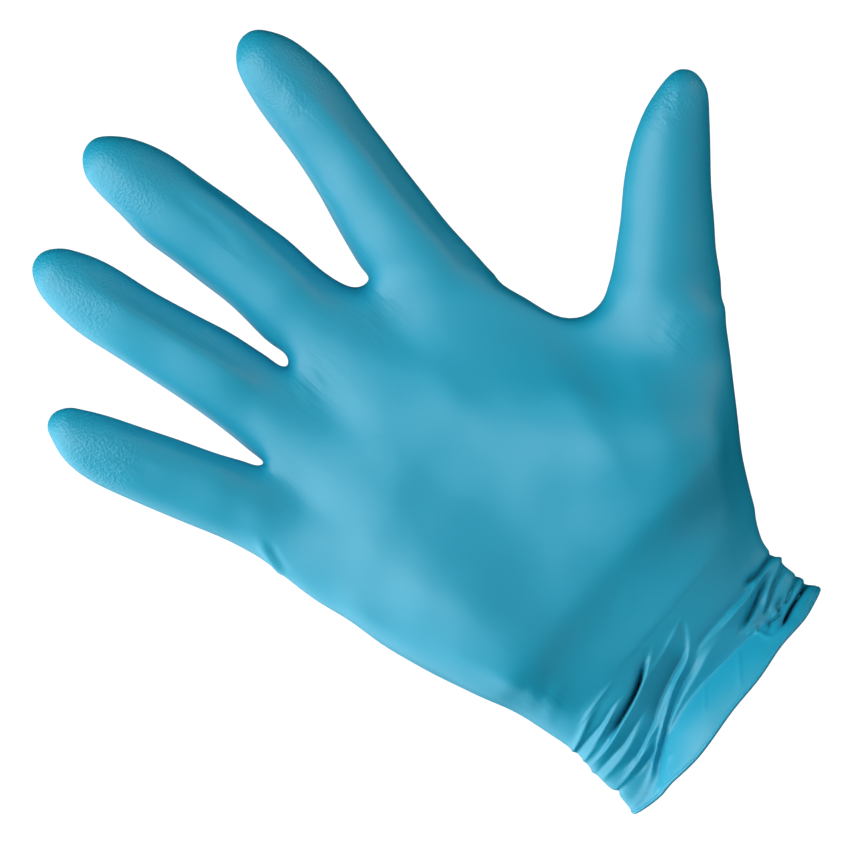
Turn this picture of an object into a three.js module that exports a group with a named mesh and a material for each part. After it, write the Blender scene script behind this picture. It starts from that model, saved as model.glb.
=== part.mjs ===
import * as THREE from "three";

// Thin-film exam glove in the form it takes on a right hand, palm to -Y, thumb to +X, fingers up.
// One dipped film: cuff, palm, five fingers and the rolled bead at the hem are one skin.
// The origin is the middle of the cuff opening. Millimetres, +Z along the hand.

// Film and bead
const filmWall = 1;
const beadDiameter = 2.6;

// Cuff
const cuffLength = 28;
const hemWidth = 73;
const hemDepth = 41;

// Wrist, the tight section at the top of the cuff
const wristWidth = 77;
const wristDepth = 35;
const wristShift = 3.4;

// Palm
const palmWidth = 94;
const palmHeight = 114;
const palmThickness = 29;
const thumbLead = 8;
const palmCupping = 3;

// Webs between the fingers
const webThickness = 12;
const thumbWebThickness = 17;
const webFrontDrop = 3;
const webBackDrop = 6;

// Fingers, each from the middle of its base to its tip
const littleLength = 60.4;
const littleWidth = 19.8;
const ringLength = 73.2;
const ringWidth = 21.8;
const middleLength = 76.4;
const middleWidth = 22.8;
const indexLength = 81.9;
const indexWidth = 23.2;
const thumbLength = 61.4;
const thumbWidth = 28;
const fingerCurl = 7;
const thumbCurl = 9;

// Mesh density
const cuffRows = 16;
const palmRows = 13;
const quadsPerFinger = 4;
const gapQuads = 3;
const sideQuads = 3;

// Marks on the outline where the palm ends: across is a share of palmWidth from the axis,
// up is a share of palmHeight from the wrist.
const marks = {
  littleEdge: { across: -0.54, up: 0.737 },
  littleWeb: { across: -0.338, up: 0.895 },
  ringWeb: { across: -0.096, up: 0.996 },
  middleWeb: { across: 0.191, up: 0.991 },
  indexEdge: { across: 0.468, up: 0.72 },
  forkCorner: { across: 0.455, up: 0.535 },
  thumbWeb: { across: 0.611, up: 0.564 },
  thumbEdge: { across: 0.804, up: 0.351 },
};

// Cuff sections: up is a share of cuffLength, the others say how far the section has opened
// from the wrist (0) to the hem (1) on each side.
const cuffSections = [
  { up: 0, little: 1, thumb: 1, front: 1, back: 1 },
  { up: 0.12, little: 0.55, thumb: 1, front: 0.9, back: 0.8 },
  { up: 0.3, little: 0.3, thumb: 1.12, front: 0.72, back: 0.55 },
  { up: 0.5, little: -0.2, thumb: 1.15, front: 0.4, back: 0.3 },
  { up: 0.7, little: -0.5, thumb: 1.02, front: 0.12, back: 0.12 },
  { up: 0.86, little: -0.3, thumb: 0.55, front: -0.02, back: 0.03 },
  { up: 1, little: 0, thumb: 0, front: 0, back: 0 },
];

// Palm sections: along runs from the wrist (0) to the finger bases (1). little and thumb say how
// far each edge has gone to its mark, front and back are shares of palmThickness.
const palmSections = [
  { along: 0, little: 0, thumb: 0, front: 0.585, back: 0.62 },
  { along: 0.12, little: 0.11, thumb: 0.09, front: 0.6, back: 0.59 },
  { along: 0.25, little: 0.32, thumb: 0.21, front: 0.67, back: 0.54 },
  { along: 0.4, little: 0.56, thumb: 0.36, front: 0.69, back: 0.5 },
  { along: 0.55, little: 0.73, thumb: 0.53, front: 0.65, back: 0.47 },
  { along: 0.7, little: 0.83, thumb: 0.68, front: 0.58, back: 0.46 },
  { along: 0.85, little: 0.95, thumb: 0.84, front: 0.5, back: 0.44 },
  { along: 1, little: 1, thumb: 1, front: 0.43, back: 0.4 },
];

// Pads and hollows of the hand under the film: across and up as for the marks, the reaches are
// shares of palmWidth and palmHeight, turn is the pad's lean in degrees, and height is a share
// of palmThickness, minus for a hollow.
const frontPads = [
  { across: 0.42, up: 0.27, reachAcross: 0.16, reachUp: 0.3, turn: -38, height: 0.27 },
  { across: -0.3, up: 0.3, reachAcross: 0.14, reachUp: 0.27, turn: 6, height: 0.13 },
  { across: -0.03, up: 0.42, reachAcross: 0.2, reachUp: 0.3, turn: -8, height: -0.1 },
  { across: -0.4, up: 0.7, reachAcross: 0.09, reachUp: 0.09, turn: 10, height: 0.07 },
  { across: -0.19, up: 0.8, reachAcross: 0.09, reachUp: 0.09, turn: 0, height: 0.07 },
  { across: 0.06, up: 0.84, reachAcross: 0.1, reachUp: 0.09, turn: 0, height: 0.07 },
  { across: 0.3, up: 0.78, reachAcross: 0.1, reachUp: 0.1, turn: -12, height: 0.08 },
];
const backPads = [
  { across: -0.42, up: 0.66, reachAcross: 0.07, reachUp: 0.08, turn: 12, height: 0.08 },
  { across: -0.2, up: 0.75, reachAcross: 0.075, reachUp: 0.09, turn: 5, height: 0.1 },
  { across: 0.05, up: 0.78, reachAcross: 0.08, reachUp: 0.09, turn: 0, height: 0.11 },
  { across: 0.29, up: 0.72, reachAcross: 0.08, reachUp: 0.09, turn: -8, height: 0.1 },
  { across: 0.02, up: 0.35, reachAcross: 0.3, reachUp: 0.25, turn: 0, height: 0.05 },
];

// Finger sections: along is a share of the finger's length, width a share of its width, and
// drift a share of its width to the thumb side of the straight line from base to tip.
const littleSections = [
  { along: 0, width: 1.12, drift: 0 },
  { along: 0.1, width: 1.05, drift: -0.02 },
  { along: 0.22, width: 1, drift: -0.05 },
  { along: 0.42, width: 0.96, drift: -0.08 },
  { along: 0.6, width: 0.92, drift: -0.11 },
  { along: 0.76, width: 0.84, drift: -0.12 },
  { along: 0.87, width: 0.7, drift: -0.1 },
  { along: 0.95, width: 0.47, drift: -0.05 },
  { along: 1, width: 0.2, drift: 0 },
];
const ringSections = [
  { along: 0, width: 1.08, drift: 0 },
  { along: 0.06, width: 1.02, drift: 0 },
  { along: 0.14, width: 0.99, drift: 0.01 },
  { along: 0.33, width: 0.955, drift: 0.01 },
  { along: 0.5, width: 0.89, drift: -0.02 },
  { along: 0.72, width: 0.875, drift: -0.035 },
  { along: 0.83, width: 0.8, drift: -0.03 },
  { along: 0.92, width: 0.63, drift: -0.025 },
  { along: 0.97, width: 0.43, drift: -0.015 },
  { along: 1, width: 0.2, drift: 0 },
];
const middleSections = [
  { along: 0, width: 1.1, drift: 0 },
  { along: 0.05, width: 1.02, drift: 0 },
  { along: 0.12, width: 1, drift: -0.01 },
  { along: 0.28, width: 0.98, drift: 0.03 },
  { along: 0.5, width: 0.95, drift: 0.025 },
  { along: 0.66, width: 0.94, drift: 0.015 },
  { along: 0.78, width: 0.855, drift: 0.025 },
  { along: 0.88, width: 0.73, drift: 0.005 },
  { along: 0.955, width: 0.51, drift: -0.025 },
  { along: 1, width: 0.22, drift: 0 },
];
const indexSections = [
  { along: 0, width: 1.12, drift: 0 },
  { along: 0.2, width: 1.05, drift: 0.005 },
  { along: 0.4, width: 0.96, drift: 0.05 },
  { along: 0.56, width: 0.885, drift: 0.09 },
  { along: 0.7, width: 0.9, drift: 0.11 },
  { along: 0.82, width: 0.83, drift: 0.085 },
  { along: 0.91, width: 0.67, drift: 0.06 },
  { along: 0.965, width: 0.45, drift: 0.035 },
  { along: 1, width: 0.2, drift: 0 },
];
const thumbSections = [
  { along: 0, width: 1.07, drift: 0 },
  { along: 0.14, width: 0.968, drift: 0 },
  { along: 0.26, width: 0.9, drift: -0.02 },
  { along: 0.4, width: 0.84, drift: -0.04 },
  { along: 0.57, width: 0.765, drift: -0.064 },
  { along: 0.72, width: 0.68, drift: -0.05 },
  { along: 0.845, width: 0.56, drift: -0.02 },
  { along: 0.925, width: 0.42, drift: 0.01 },
  { along: 1, width: 0.2, drift: 0.01 },
];

// Fingers from the little finger to the thumb: lean is the turn of the straight line from base
// to tip away from +Z, thickness is the share of the width that the finger is deep.
const fingers = {
  little: {
    from: "littleEdge", to: "littleWeb", length: littleLength, width: littleWidth,
    lean: -17, thickness: 0.9, rows: 10, curl: fingerCurl, sections: littleSections,
  },
  ring: {
    from: "littleWeb", to: "ringWeb", length: ringLength, width: ringWidth,
    lean: -7.9, thickness: 0.9, rows: 11, curl: fingerCurl, sections: ringSections,
  },
  middle: {
    from: "ringWeb", to: "middleWeb", length: middleLength, width: middleWidth,
    lean: -3.4, thickness: 0.9, rows: 11, curl: fingerCurl, sections: middleSections,
  },
  index: {
    from: "middleWeb", to: "indexEdge", length: indexLength, width: indexWidth,
    lean: 10.7, thickness: 0.9, rows: 11, curl: fingerCurl, sections: indexSections,
  },
  thumb: {
    from: "thumbWeb", to: "thumbEdge", length: thumbLength, width: thumbWidth,
    lean: 53.5, thickness: 0.84, rows: 10, curl: thumbCurl, sections: thumbSections,
  },
};

// Folds of the bunched cuff. Angles go round the cuff from the middle of the palm side (0) over
// the thumb side (90), ups are shares of cuffLength, spread and height are shares of cuffLength,
// and a minus height is a groove.
const cuffFolds = [
  { angle: -88, up: 0.03, toAngle: -33, toUp: 0.32, spread: 0.04, height: 0.035 },
  { angle: -50, up: 0.1, toAngle: -32, toUp: 0.25, spread: 0.035, height: -0.035 },
  { angle: -24, up: 0.41, toAngle: 8, toUp: 0.6, spread: 0.04, height: 0.04 },
  { angle: -22, up: 0.36, toAngle: 12, toUp: 0.52, spread: 0.035, height: -0.03 },
  { angle: -28, up: 0.35, toAngle: 16, toUp: 0.47, spread: 0.05, height: 0.03 },
  { angle: -62, up: 0.26, toAngle: -30, toUp: 0.34, spread: 0.035, height: 0.035 },
  { angle: -60, up: 0.22, toAngle: -34, toUp: 0.29, spread: 0.03, height: -0.035 },
  { angle: -66, up: 0.38, toAngle: -34, toUp: 0.51, spread: 0.035, height: 0.04 },
  { angle: -58, up: 0.35, toAngle: -30, toUp: 0.44, spread: 0.03, height: -0.03 },
  { angle: -84, up: 0.53, toAngle: -18, toUp: 0.75, spread: 0.04, height: 0.05 },
  { angle: -16, up: 0.77, toAngle: -2, toUp: 0.9, spread: 0.04, height: 0.05 },
  { angle: -62, up: 0.62, toAngle: -10, toUp: 0.84, spread: 0.035, height: -0.07 },
  { angle: -84, up: 0.66, toAngle: -33, toUp: 0.8, spread: 0.035, height: 0.045 },
  { angle: -88, up: 0.77, toAngle: -50, toUp: 0.87, spread: 0.035, height: 0.045 },
  { angle: -92, up: 0.74, toAngle: -30, toUp: 0.77, spread: 0.03, height: -0.035 },
  { angle: 5, up: 0.61, toAngle: 52, toUp: 0.585, spread: 0.035, height: -0.03 },
  { angle: 28, up: 0.555, toAngle: 118, toUp: 0.54, spread: 0.035, height: 0.055 },
  { angle: 52, up: 0.62, toAngle: 112, toUp: 0.615, spread: 0.03, height: -0.045 },
  { angle: 28, up: 0.44, toAngle: 58, toUp: 0.47, spread: 0.04, height: -0.06 },
  { angle: 50, up: 0.36, toAngle: 86, toUp: 0.5, spread: 0.035, height: 0.04 },
  { angle: 56, up: 0.4, toAngle: 116, toUp: 0.42, spread: 0.04, height: -0.025 },
  { angle: 34, up: 0.2, toAngle: 66, toUp: 0.23, spread: 0.035, height: -0.05 },
  { angle: 60, up: 0.285, toAngle: 124, toUp: 0.27, spread: 0.035, height: 0.035 },
  { angle: 40, up: 0.13, toAngle: 112, toUp: 0.165, spread: 0.04, height: -0.07 },
  { angle: 34, up: 0.07, toAngle: 120, toUp: 0.06, spread: 0.05, height: 0.05 },
  { angle: 128, up: 0.2, toAngle: 196, toUp: 0.34, spread: 0.045, height: 0.04 },
  { angle: 124, up: 0.4, toAngle: 188, toUp: 0.5, spread: 0.04, height: -0.04 },
  { angle: 136, up: 0.52, toAngle: 216, toUp: 0.64, spread: 0.045, height: 0.045 },
  { angle: 170, up: 0.16, toAngle: 240, toUp: 0.24, spread: 0.045, height: 0.035 },
  { angle: 200, up: 0.44, toAngle: 262, toUp: 0.36, spread: 0.04, height: -0.045 },
  { angle: 190, up: 0.8, toAngle: 262, toUp: 0.7, spread: 0.04, height: 0.045 },
  { angle: 214, up: 0.7, toAngle: 266, toUp: 0.58, spread: 0.035, height: -0.04 },
  { angle: 222, up: 0.5, toAngle: 268, toUp: 0.5, spread: 0.04, height: 0.04 },
];

// Wave of the hem: each term has so many waves round the cuff, and a height and start angle.
const hemWaves = [
  { waves: 1, height: 0.032, start: 0 },
  { waves: 2, height: 0.016, start: -90 },
  { waves: 5, height: 0.022, start: 35 },
];

// Shape of a closed section: how square the flat sides are, how far the front and back chains
// stay in from the edge, and where the two side points sit.
const sectionPower = 2.3;
const edgeInset = 0.06;
const sideDepthShare = 0.2;
const palmBlendStart = 0.7;
const baseInset = 0.14;
const padEdgeFade = 0.5;
const slantFade = 2;
const endRowCrowding = 0.75;
const curlEase = 1.7;
const lastRowAlong = 0.965;
const capRise = 0.55;
const foldFadeRows = 0.12;
const relaxedPalmRows = 3;
const relaxedFingerRows = 2;
const relaxPasses = 3;
const relaxShare = 0.35;

const frontQuads = 4 * quadsPerFinger + gapQuads + quadsPerFinger;
const chainCount = frontQuads + 1;
const gapStart = 4 * quadsPerFinger;
const thumbStart = gapStart + gapQuads;
const wristLeft = wristShift - wristWidth / 2;
const wristRight = wristShift + wristWidth / 2;
const hemLeft = -hemWidth / 2;
const hemRight = hemWidth / 2;

const lerp = THREE.MathUtils.lerp;
const smoothstep = THREE.MathUtils.smoothstep;
const toRadians = THREE.MathUtils.degToRad;

// Value of a column of a table at a place along it, on a smooth curve through the rows.
function lookUp(table, placeName, place, column) {
  const last = table.length - 1;
  let row = 0;
  while (row < last - 1 && place > table[row + 1][placeName]) {
    row += 1;
  }
  const slopeAt = (index) => {
    const before = table[Math.max(index - 1, 0)];
    const after = table[Math.min(index + 1, last)];
    return (after[column] - before[column]) / (after[placeName] - before[placeName]);
  };
  const start = table[row];
  const end = table[row + 1];
  const span = end[placeName] - start[placeName];
  const t = THREE.MathUtils.clamp((place - start[placeName]) / span, 0, 1);
  const rise = t * t * (3 - 2 * t);
  const leave = t * (1 - t) * (1 - t) * slopeAt(row) * span;
  const arrive = t * t * (t - 1) * slopeAt(row + 1) * span;
  return lerp(start[column], end[column], rise) + leave + arrive;
}

// Place of a mark in the plane of the hand.
function markPoint(name) {
  const mark = marks[name];
  return new THREE.Vector2(mark.across * palmWidth, cuffLength + mark.up * palmHeight);
}

// Share of the way round a rounded section that the film stands out, 1 in the middle.
function sectionRise(side) {
  return (1 - Math.abs(side) ** sectionPower) ** (1 / sectionPower);
}

// Height that a table of pads adds at a point of the hand's plane.
function padHeight(pads, x, z) {
  let height = 0;
  for (const pad of pads) {
    const turn = toRadians(pad.turn);
    const dx = x - pad.across * palmWidth;
    const dz = z - cuffLength - pad.up * palmHeight;
    const across = (dx * Math.cos(turn) - dz * Math.sin(turn)) / (pad.reachAcross * palmWidth);
    const along = (dx * Math.sin(turn) + dz * Math.cos(turn)) / (pad.reachUp * palmHeight);
    height += pad.height * palmThickness * Math.exp(-across * across - along * along);
  }
  return height;
}

// A skin is a list of points and of four-cornered faces that point outwards.
class Skin {
  constructor() {
    this.points = [];
    this.faces = [];
  }

  add(x, y, z) {
    this.points.push(new THREE.Vector3(x, y, z));
    return this.points.length - 1;
  }

  face(a, b, c, d) {
    this.faces.push([a, b, c, d]);
  }

  // Joins two rings of the same count, both seen anticlockwise from the end of the tube.
  band(lower, upper) {
    lower.forEach((point, index) => {
      const next = (index + 1) % lower.length;
      this.face(point, lower[next], upper[next], upper[index]);
    });
  }

  normals() {
    const sums = this.points.map(() => new THREE.Vector3());
    for (const [a, b, c, d] of this.faces) {
      const first = new THREE.Vector3().subVectors(this.points[c], this.points[a]);
      const second = new THREE.Vector3().subVectors(this.points[d], this.points[b]);
      const normal = first.cross(second);
      [a, b, c, d].forEach((index) => sums[index].add(normal));
    }
    return sums.map((sum) => sum.normalize());
  }

  // Moves some points part of the way to the middle of their neighbours.
  relax(indexes, share) {
    const neighbours = this.points.map(() => new Set());
    for (const face of this.faces) {
      face.forEach((point, corner) => {
        neighbours[point].add(face[(corner + 1) % 4]);
        neighbours[point].add(face[(corner + 3) % 4]);
      });
    }
    const targets = indexes.map((index) => {
      const middle = new THREE.Vector3();
      neighbours[index].forEach((other) => middle.add(this.points[other]));
      return middle.divideScalar(neighbours[index].size);
    });
    indexes.forEach((index, order) => this.points[index].lerp(targets[order], share));
  }
}

// Places the 52 points of one closed row of the cuff or palm. The row's spec gives its two edge
// points, its depths, and the places where single points leave the straight line between them.
function closedRow(skin, row) {
  const place = (order) => edgeInset + ((1 - 2 * edgeInset) * order) / frontQuads;
  const chain = (face, depth) => {
    const indexes = [];
    for (let order = 0; order < chainCount; order += 1) {
      const across = place(order);
      const side = 2 * across - 1;
      const shift = row.shift(order, face);
      const x = lerp(row.left.x, row.right.x, across) + shift.x;
      const z = lerp(row.left.y, row.right.y, across) + shift.z;
      const y = row.middle(side) + face * depth * sectionRise(side);
      indexes.push(skin.add(x, row.finish(order, face, x, y, z), z));
    }
    return indexes;
  };
  const edge = (side, point, faces) => faces.map((face) => {
    const depth = face < 0 ? row.front : row.back;
    return skin.add(point.x, row.middle(side) + face * sideDepthShare * depth, point.y);
  });
  const front = chain(-1, row.front);
  const right = edge(1, row.right, [-1, 1]);
  const back = chain(1, row.back);
  const left = edge(-1, row.left, [-1, 1]);
  return { front, right, back, left };
}

// Order of a closed row's points, anticlockwise seen from the fingers.
function ringOf(row) {
  return [...row.front, ...row.right, ...[...row.back].reverse(), ...[...row.left].reverse()];
}

function hemRise(x, y) {
  const angle = Math.atan2(x, -y);
  let rise = 0;
  for (const wave of hemWaves) {
    rise += wave.height * cuffLength * Math.sin(wave.waves * angle + toRadians(wave.start));
  }
  return rise;
}

// One row of the cuff at a share of its length.
function cuffRow(skin, up) {
  const open = (column) => lookUp(cuffSections, "up", up, column);
  const level = lerp(beadDiameter, cuffLength, up);
  const left = new THREE.Vector2(lerp(wristLeft, hemLeft, open("little")), level);
  const right = new THREE.Vector2(lerp(wristRight, hemRight, open("thumb")), level);
  const row = closedRow(skin, {
    left,
    right,
    front: lerp(wristDepth, hemDepth, open("front")) / 2,
    back: lerp(wristDepth, hemDepth, open("back")) / 2,
    shift: () => ({ x: 0, z: 0 }),
    middle: () => 0,
    finish: (order, face, x, y) => y,
  });
  for (const index of ringOf(row)) {
    const point = skin.points[index];
    point.z += hemRise(point.x, point.y) * (1 - up) ** 2;
  }
  return row;
}

// Places of the palm's last row: four finger bases, the gap to the thumb and the thumb's base.
function baseLine(face) {
  const drop = face < 0 ? webFrontDrop : webBackDrop;
  const points = [];
  const run = (from, corner, to, quads, startShare = 0, endShare = 1) => {
    const curve = new THREE.QuadraticBezierCurve(markPoint(from), corner, markPoint(to));
    for (let step = points.length === 0 ? 0 : 1; step <= quads; step += 1) {
      const place = curve.getPoint(lerp(startShare, endShare, step / quads));
      points.push({ x: place.x, z: place.y - drop });
    }
  };
  const halfWay = (from, to) => markPoint(from).lerp(markPoint(to), 0.5);
  const straight = (from, to, ...rest) => run(from, halfWay(from, to), to, ...rest);
  straight("littleEdge", "littleWeb", quadsPerFinger, baseInset, 1);
  straight("littleWeb", "ringWeb", quadsPerFinger);
  straight("ringWeb", "middleWeb", quadsPerFinger);
  straight("middleWeb", "indexEdge", quadsPerFinger);
  run("indexEdge", markPoint("forkCorner"), "thumbWeb", gapQuads);
  straight("thumbWeb", "thumbEdge", quadsPerFinger, 0, 1 - baseInset);
  return points;
}

// The hand's middle surface leans forward towards the thumb and a little at the little finger.
function middleLean(side, along) {
  const thumbSide = Math.max(side, 0);
  return -along * (thumbLead * thumbSide * thumbSide + palmCupping * Math.min(side, 0) ** 2);
}

// Depth of the last palm row at each of its places: full over a finger, less at a web.
function baseDepth(order) {
  if (order >= gapStart && order <= thumbStart) {
    return thumbWebThickness / 2;
  }
  const onThumb = order > thumbStart;
  const fourFingers = [fingers.little, fingers.ring, fingers.middle, fingers.index];
  const finger = onThumb ? fingers.thumb : fourFingers[Math.floor(order / quadsPerFinger)];
  const share = ((order - (onThumb ? thumbStart : 0)) % quadsPerFinger) / quadsPerFinger;
  const full = (finger.width * finger.thickness) / 2;
  const edge = (onThumb ? thumbWebThickness : webThickness) / 2;
  return lerp(edge, full, Math.sin(Math.PI * share) ** 0.7);
}

// One row of the palm at a share of the way from the wrist to the finger bases.
function palmRow(skin, along, lines) {
  const value = (column) => lookUp(palmSections, "along", along, column);
  const littleEdge = markPoint("littleEdge");
  const thumbEdge = markPoint("thumbEdge");
  const left = new THREE.Vector2(
    lerp(wristLeft, littleEdge.x, value("little")),
    lerp(cuffLength, littleEdge.y, along),
  );
  const right = new THREE.Vector2(
    lerp(wristRight, thumbEdge.x, value("thumb")),
    lerp(cuffLength, thumbEdge.y, along),
  );
  const blend = smoothstep(along, palmBlendStart, 1);
  const lastMiddle = (order) => middleLean((2 * order) / frontQuads - 1, 1);
  return closedRow(skin, {
    left,
    right,
    front: value("front") * palmThickness,
    back: value("back") * palmThickness,
    middle: (side) => middleLean(side, along),
    shift: (order, face) => {
      const across = edgeInset + ((1 - 2 * edgeInset) * order) / frontQuads;
      const target = lines[face][order];
      const straightX = lerp(littleEdge.x, thumbEdge.x, across);
      const straightZ = lerp(littleEdge.y, thumbEdge.y, across);
      return { x: (target.x - straightX) * along, z: (target.z - straightZ) * along };
    },
    finish: (order, face, x, y, z) => {
      const side = (2 * order) / frontQuads - 1;
      const pads = face < 0 ? frontPads : backPads;
      const pad = padHeight(pads, x, z) * sectionRise(side) ** padEdgeFade;
      const last = lastMiddle(order) + face * baseDepth(order);
      return lerp(y + face * pad, last, blend);
    },
  });
}

// The two points between front and back of a web, at the height of its saddle.
function webPair(skin, front, back, mark) {
  const place = markPoint(mark);
  return [0.28, 0.72].map((share) => {
    const y = lerp(skin.points[front].y, skin.points[back].y, share);
    return skin.add(place.x, y, place.y);
  });
}

// Angles of a finger ring's points from +X, front chain first.
const fingerRing = 2 * quadsPerFinger + 2 * sideQuads;
function ringAngle(order) {
  const step = (2 * Math.PI) / fingerRing;
  return (order - quadsPerFinger / 2) * step - Math.PI / 2;
}

// Builds one finger on its base ring and closes its tip.
function raiseFinger(skin, finger, base) {
  const lean = toRadians(finger.lean);
  const axis = new THREE.Vector3(Math.sin(lean), 0, Math.cos(lean));
  const across = new THREE.Vector3(Math.cos(lean), 0, -Math.sin(lean));
  const from = markPoint(finger.from);
  const to = markPoint(finger.to);
  const middle = new THREE.Vector3((from.x + to.x) / 2, 0, (from.y + to.y) / 2);
  base.forEach((index) => {
    middle.y += skin.points[index].y / base.length;
  });
  const slant = ((to.x - from.x) * axis.x + (to.y - from.y) * axis.z) / 2;
  const pointAt = (along, sideways, forward) => {
    const value = (column) => lookUp(finger.sections, "along", along, column);
    const half = (value("width") * finger.width) / 2;
    const point = middle.clone().addScaledVector(axis, along * finger.length);
    point.addScaledVector(across, value("drift") * finger.width + half * sideways);
    point.y += half * finger.thickness * forward - finger.curl * Math.max(along, 0) ** curlEase;
    return point;
  };
  const push = (point) => skin.add(point.x, point.y, point.z);
  const rows = [base];
  for (let row = 1; row <= finger.rows; row += 1) {
    const share = row / finger.rows;
    const crowded = (1 - Math.cos(Math.PI * share)) / 2;
    const along = lastRowAlong * lerp(share, crowded, endRowCrowding);
    const tilt = ((slant / finger.length) * (1 - share) ** slantFade);
    rows.push(base.map((index, order) => {
      const angle = ringAngle(order);
      return push(pointAt(along + tilt * Math.cos(angle), Math.cos(angle), Math.sin(angle)));
    }));
  }
  rows.slice(1).forEach((ring, index) => skin.band(rows[index], ring));
  closeTip(skin, rows[rows.length - 1], axis);
  return rows;
}

// Closes a finger's last ring with a small domed grid.
function closeTip(skin, ring, axis) {
  const front = ring.slice(0, quadsPerFinger + 1);
  const right = ring.slice(quadsPerFinger + 1, quadsPerFinger + sideQuads);
  const backStart = quadsPerFinger + sideQuads;
  const back = ring.slice(backStart, backStart + quadsPerFinger + 1).reverse();
  const left = ring.slice(backStart + quadsPerFinger + 1).reverse();
  const at = (index) => skin.points[index];
  const radius = at(front[0]).distanceTo(at(back[quadsPerFinger])) / 2;
  const grid = [front];
  for (let row = 1; row < sideQuads; row += 1) {
    const deep = row / sideQuads;
    const line = [left[row - 1]];
    for (let column = 1; column < quadsPerFinger; column += 1) {
      const wide = column / quadsPerFinger;
      const sides = at(left[row - 1]).clone().lerp(at(right[row - 1]), wide);
      const ends = at(front[column]).clone().lerp(at(back[column]), deep);
      const rise = capRise * radius * Math.sin(Math.PI * wide) * Math.sin(Math.PI * deep);
      const point = sides.lerp(ends, 0.5).addScaledVector(axis, rise);
      line.push(skin.add(point.x, point.y, point.z));
    }
    line.push(right[row - 1]);
    grid.push(line);
  }
  grid.push(back);
  gridFaces(skin, grid);
}

function gridFaces(skin, grid) {
  for (let row = 0; row < grid.length - 1; row += 1) {
    for (let column = 0; column < grid[row].length - 1; column += 1) {
      const [near, far] = [grid[row], grid[row + 1]];
      skin.face(near[column], near[column + 1], far[column + 1], far[column]);
    }
  }
}

// Smooth outer skin, without folds: cuff, palm, webs and fingers.
function outerSkin() {
  const skin = new Skin();
  const rows = [];
  for (let step = 0; step <= cuffRows; step += 1) {
    rows.push(cuffRow(skin, step / cuffRows));
  }
  const lines = { [-1]: baseLine(-1), 1: baseLine(1) };
  for (let step = 1; step <= palmRows; step += 1) {
    rows.push(palmRow(skin, step / palmRows, lines));
  }
  const rings = rows.map(ringOf);
  rings.slice(1).forEach((ring, index) => skin.band(rings[index], ring));

  const { front, back, left, right } = rows[rows.length - 1];
  const pair = (order, mark) => webPair(skin, front[order], back[order], mark);
  const between = new Map([[0, left], [frontQuads, right]]);
  between.set(quadsPerFinger, pair(quadsPerFinger, "littleWeb"));
  between.set(2 * quadsPerFinger, pair(2 * quadsPerFinger, "ringWeb"));
  between.set(3 * quadsPerFinger, pair(3 * quadsPerFinger, "middleWeb"));
  between.set(gapStart, pair(gapStart, "indexEdge"));
  between.set(thumbStart, pair(thumbStart, "thumbWeb"));
  for (let order = gapStart + 1; order < thumbStart; order += 1) {
    const share = (order - gapStart) / gapQuads;
    between.set(order, [0, 1].map((row) => {
      const start = skin.points[between.get(gapStart)[row]];
      const end = skin.points[between.get(thumbStart)[row]];
      const place = lines[-1][order];
      return skin.add(place.x, lerp(start.y, end.y, share), place.z + webFrontDrop);
    }));
  }
  const gap = [0, 1].map((row) => {
    const line = [];
    for (let order = gapStart; order <= thumbStart; order += 1) {
      line.push(between.get(order)[row]);
    }
    return line;
  });
  gridFaces(skin, [
    front.slice(gapStart, thumbStart + 1), ...gap, back.slice(gapStart, thumbStart + 1),
  ]);

  const loose = new Set([...front, ...back, ...gap.flat()]);
  rings.slice(-1 - relaxedPalmRows, -1).forEach((ring) => ring.forEach((index) => loose.add(index)));
  Object.values(fingers).forEach((finger, order) => {
    const start = finger === fingers.thumb ? thumbStart : order * quadsPerFinger;
    const end = start + quadsPerFinger;
    const base = [
      ...front.slice(start, end + 1), ...between.get(end),
      ...back.slice(start, end + 1).reverse(), ...[...between.get(start)].reverse(),
    ];
    const raised = raiseFinger(skin, finger, base).slice(1, 1 + relaxedFingerRows);
    raised.flat().forEach((index) => loose.add(index));
  });
  for (let pass = 0; pass < relaxPasses; pass += 1) {
    skin.relax([...loose], relaxShare);
  }
  return { skin, hem: rings[0] };
}

// Height of the cuff's folds at a point, faded out at the hem and above the wrist.
function foldHeight(point) {
  const up = point.z / cuffLength;
  const girth = (Math.PI * (hemWidth + hemDepth)) / 2;
  const angle = THREE.MathUtils.radToDeg(Math.atan2(point.x, -point.y));
  let height = 0;
  for (const fold of cuffFolds) {
    const middleAngle = (fold.angle + fold.toAngle) / 2;
    const turns = Math.round((middleAngle - angle) / 360);
    const place = new THREE.Vector2(((angle + 360 * turns) * girth) / 360, up * cuffLength);
    const start = new THREE.Vector2((fold.angle * girth) / 360, fold.up * cuffLength);
    const end = new THREE.Vector2((fold.toAngle * girth) / 360, fold.toUp * cuffLength);
    const run = end.clone().sub(start);
    const share = place.clone().sub(start).dot(run) / run.lengthSq();
    const nearest = start.clone().addScaledVector(run, THREE.MathUtils.clamp(share, 0, 1));
    const away = place.distanceTo(nearest) / (fold.spread * cuffLength);
    height += fold.height * cuffLength * Math.exp(-away * away / 2);
  }
  return height * smoothstep(up, 0, foldFadeRows) * (1 - smoothstep(up, 1, 1 + foldFadeRows));
}

// Round section of the rolled bead, from the outer wall under the hem to the inner wall. out is
// measured from the middle of the film, both in bead radii.
const beadPoints = [
  { out: 0.8, down: -0.6 },
  { out: 1, down: 0 },
  { out: 0.71, down: 0.71 },
  { out: 0, down: 1 },
  { out: -0.71, down: 0.71 },
  { out: -1, down: 0 },
  { out: -0.8, down: -0.6 },
];

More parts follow.
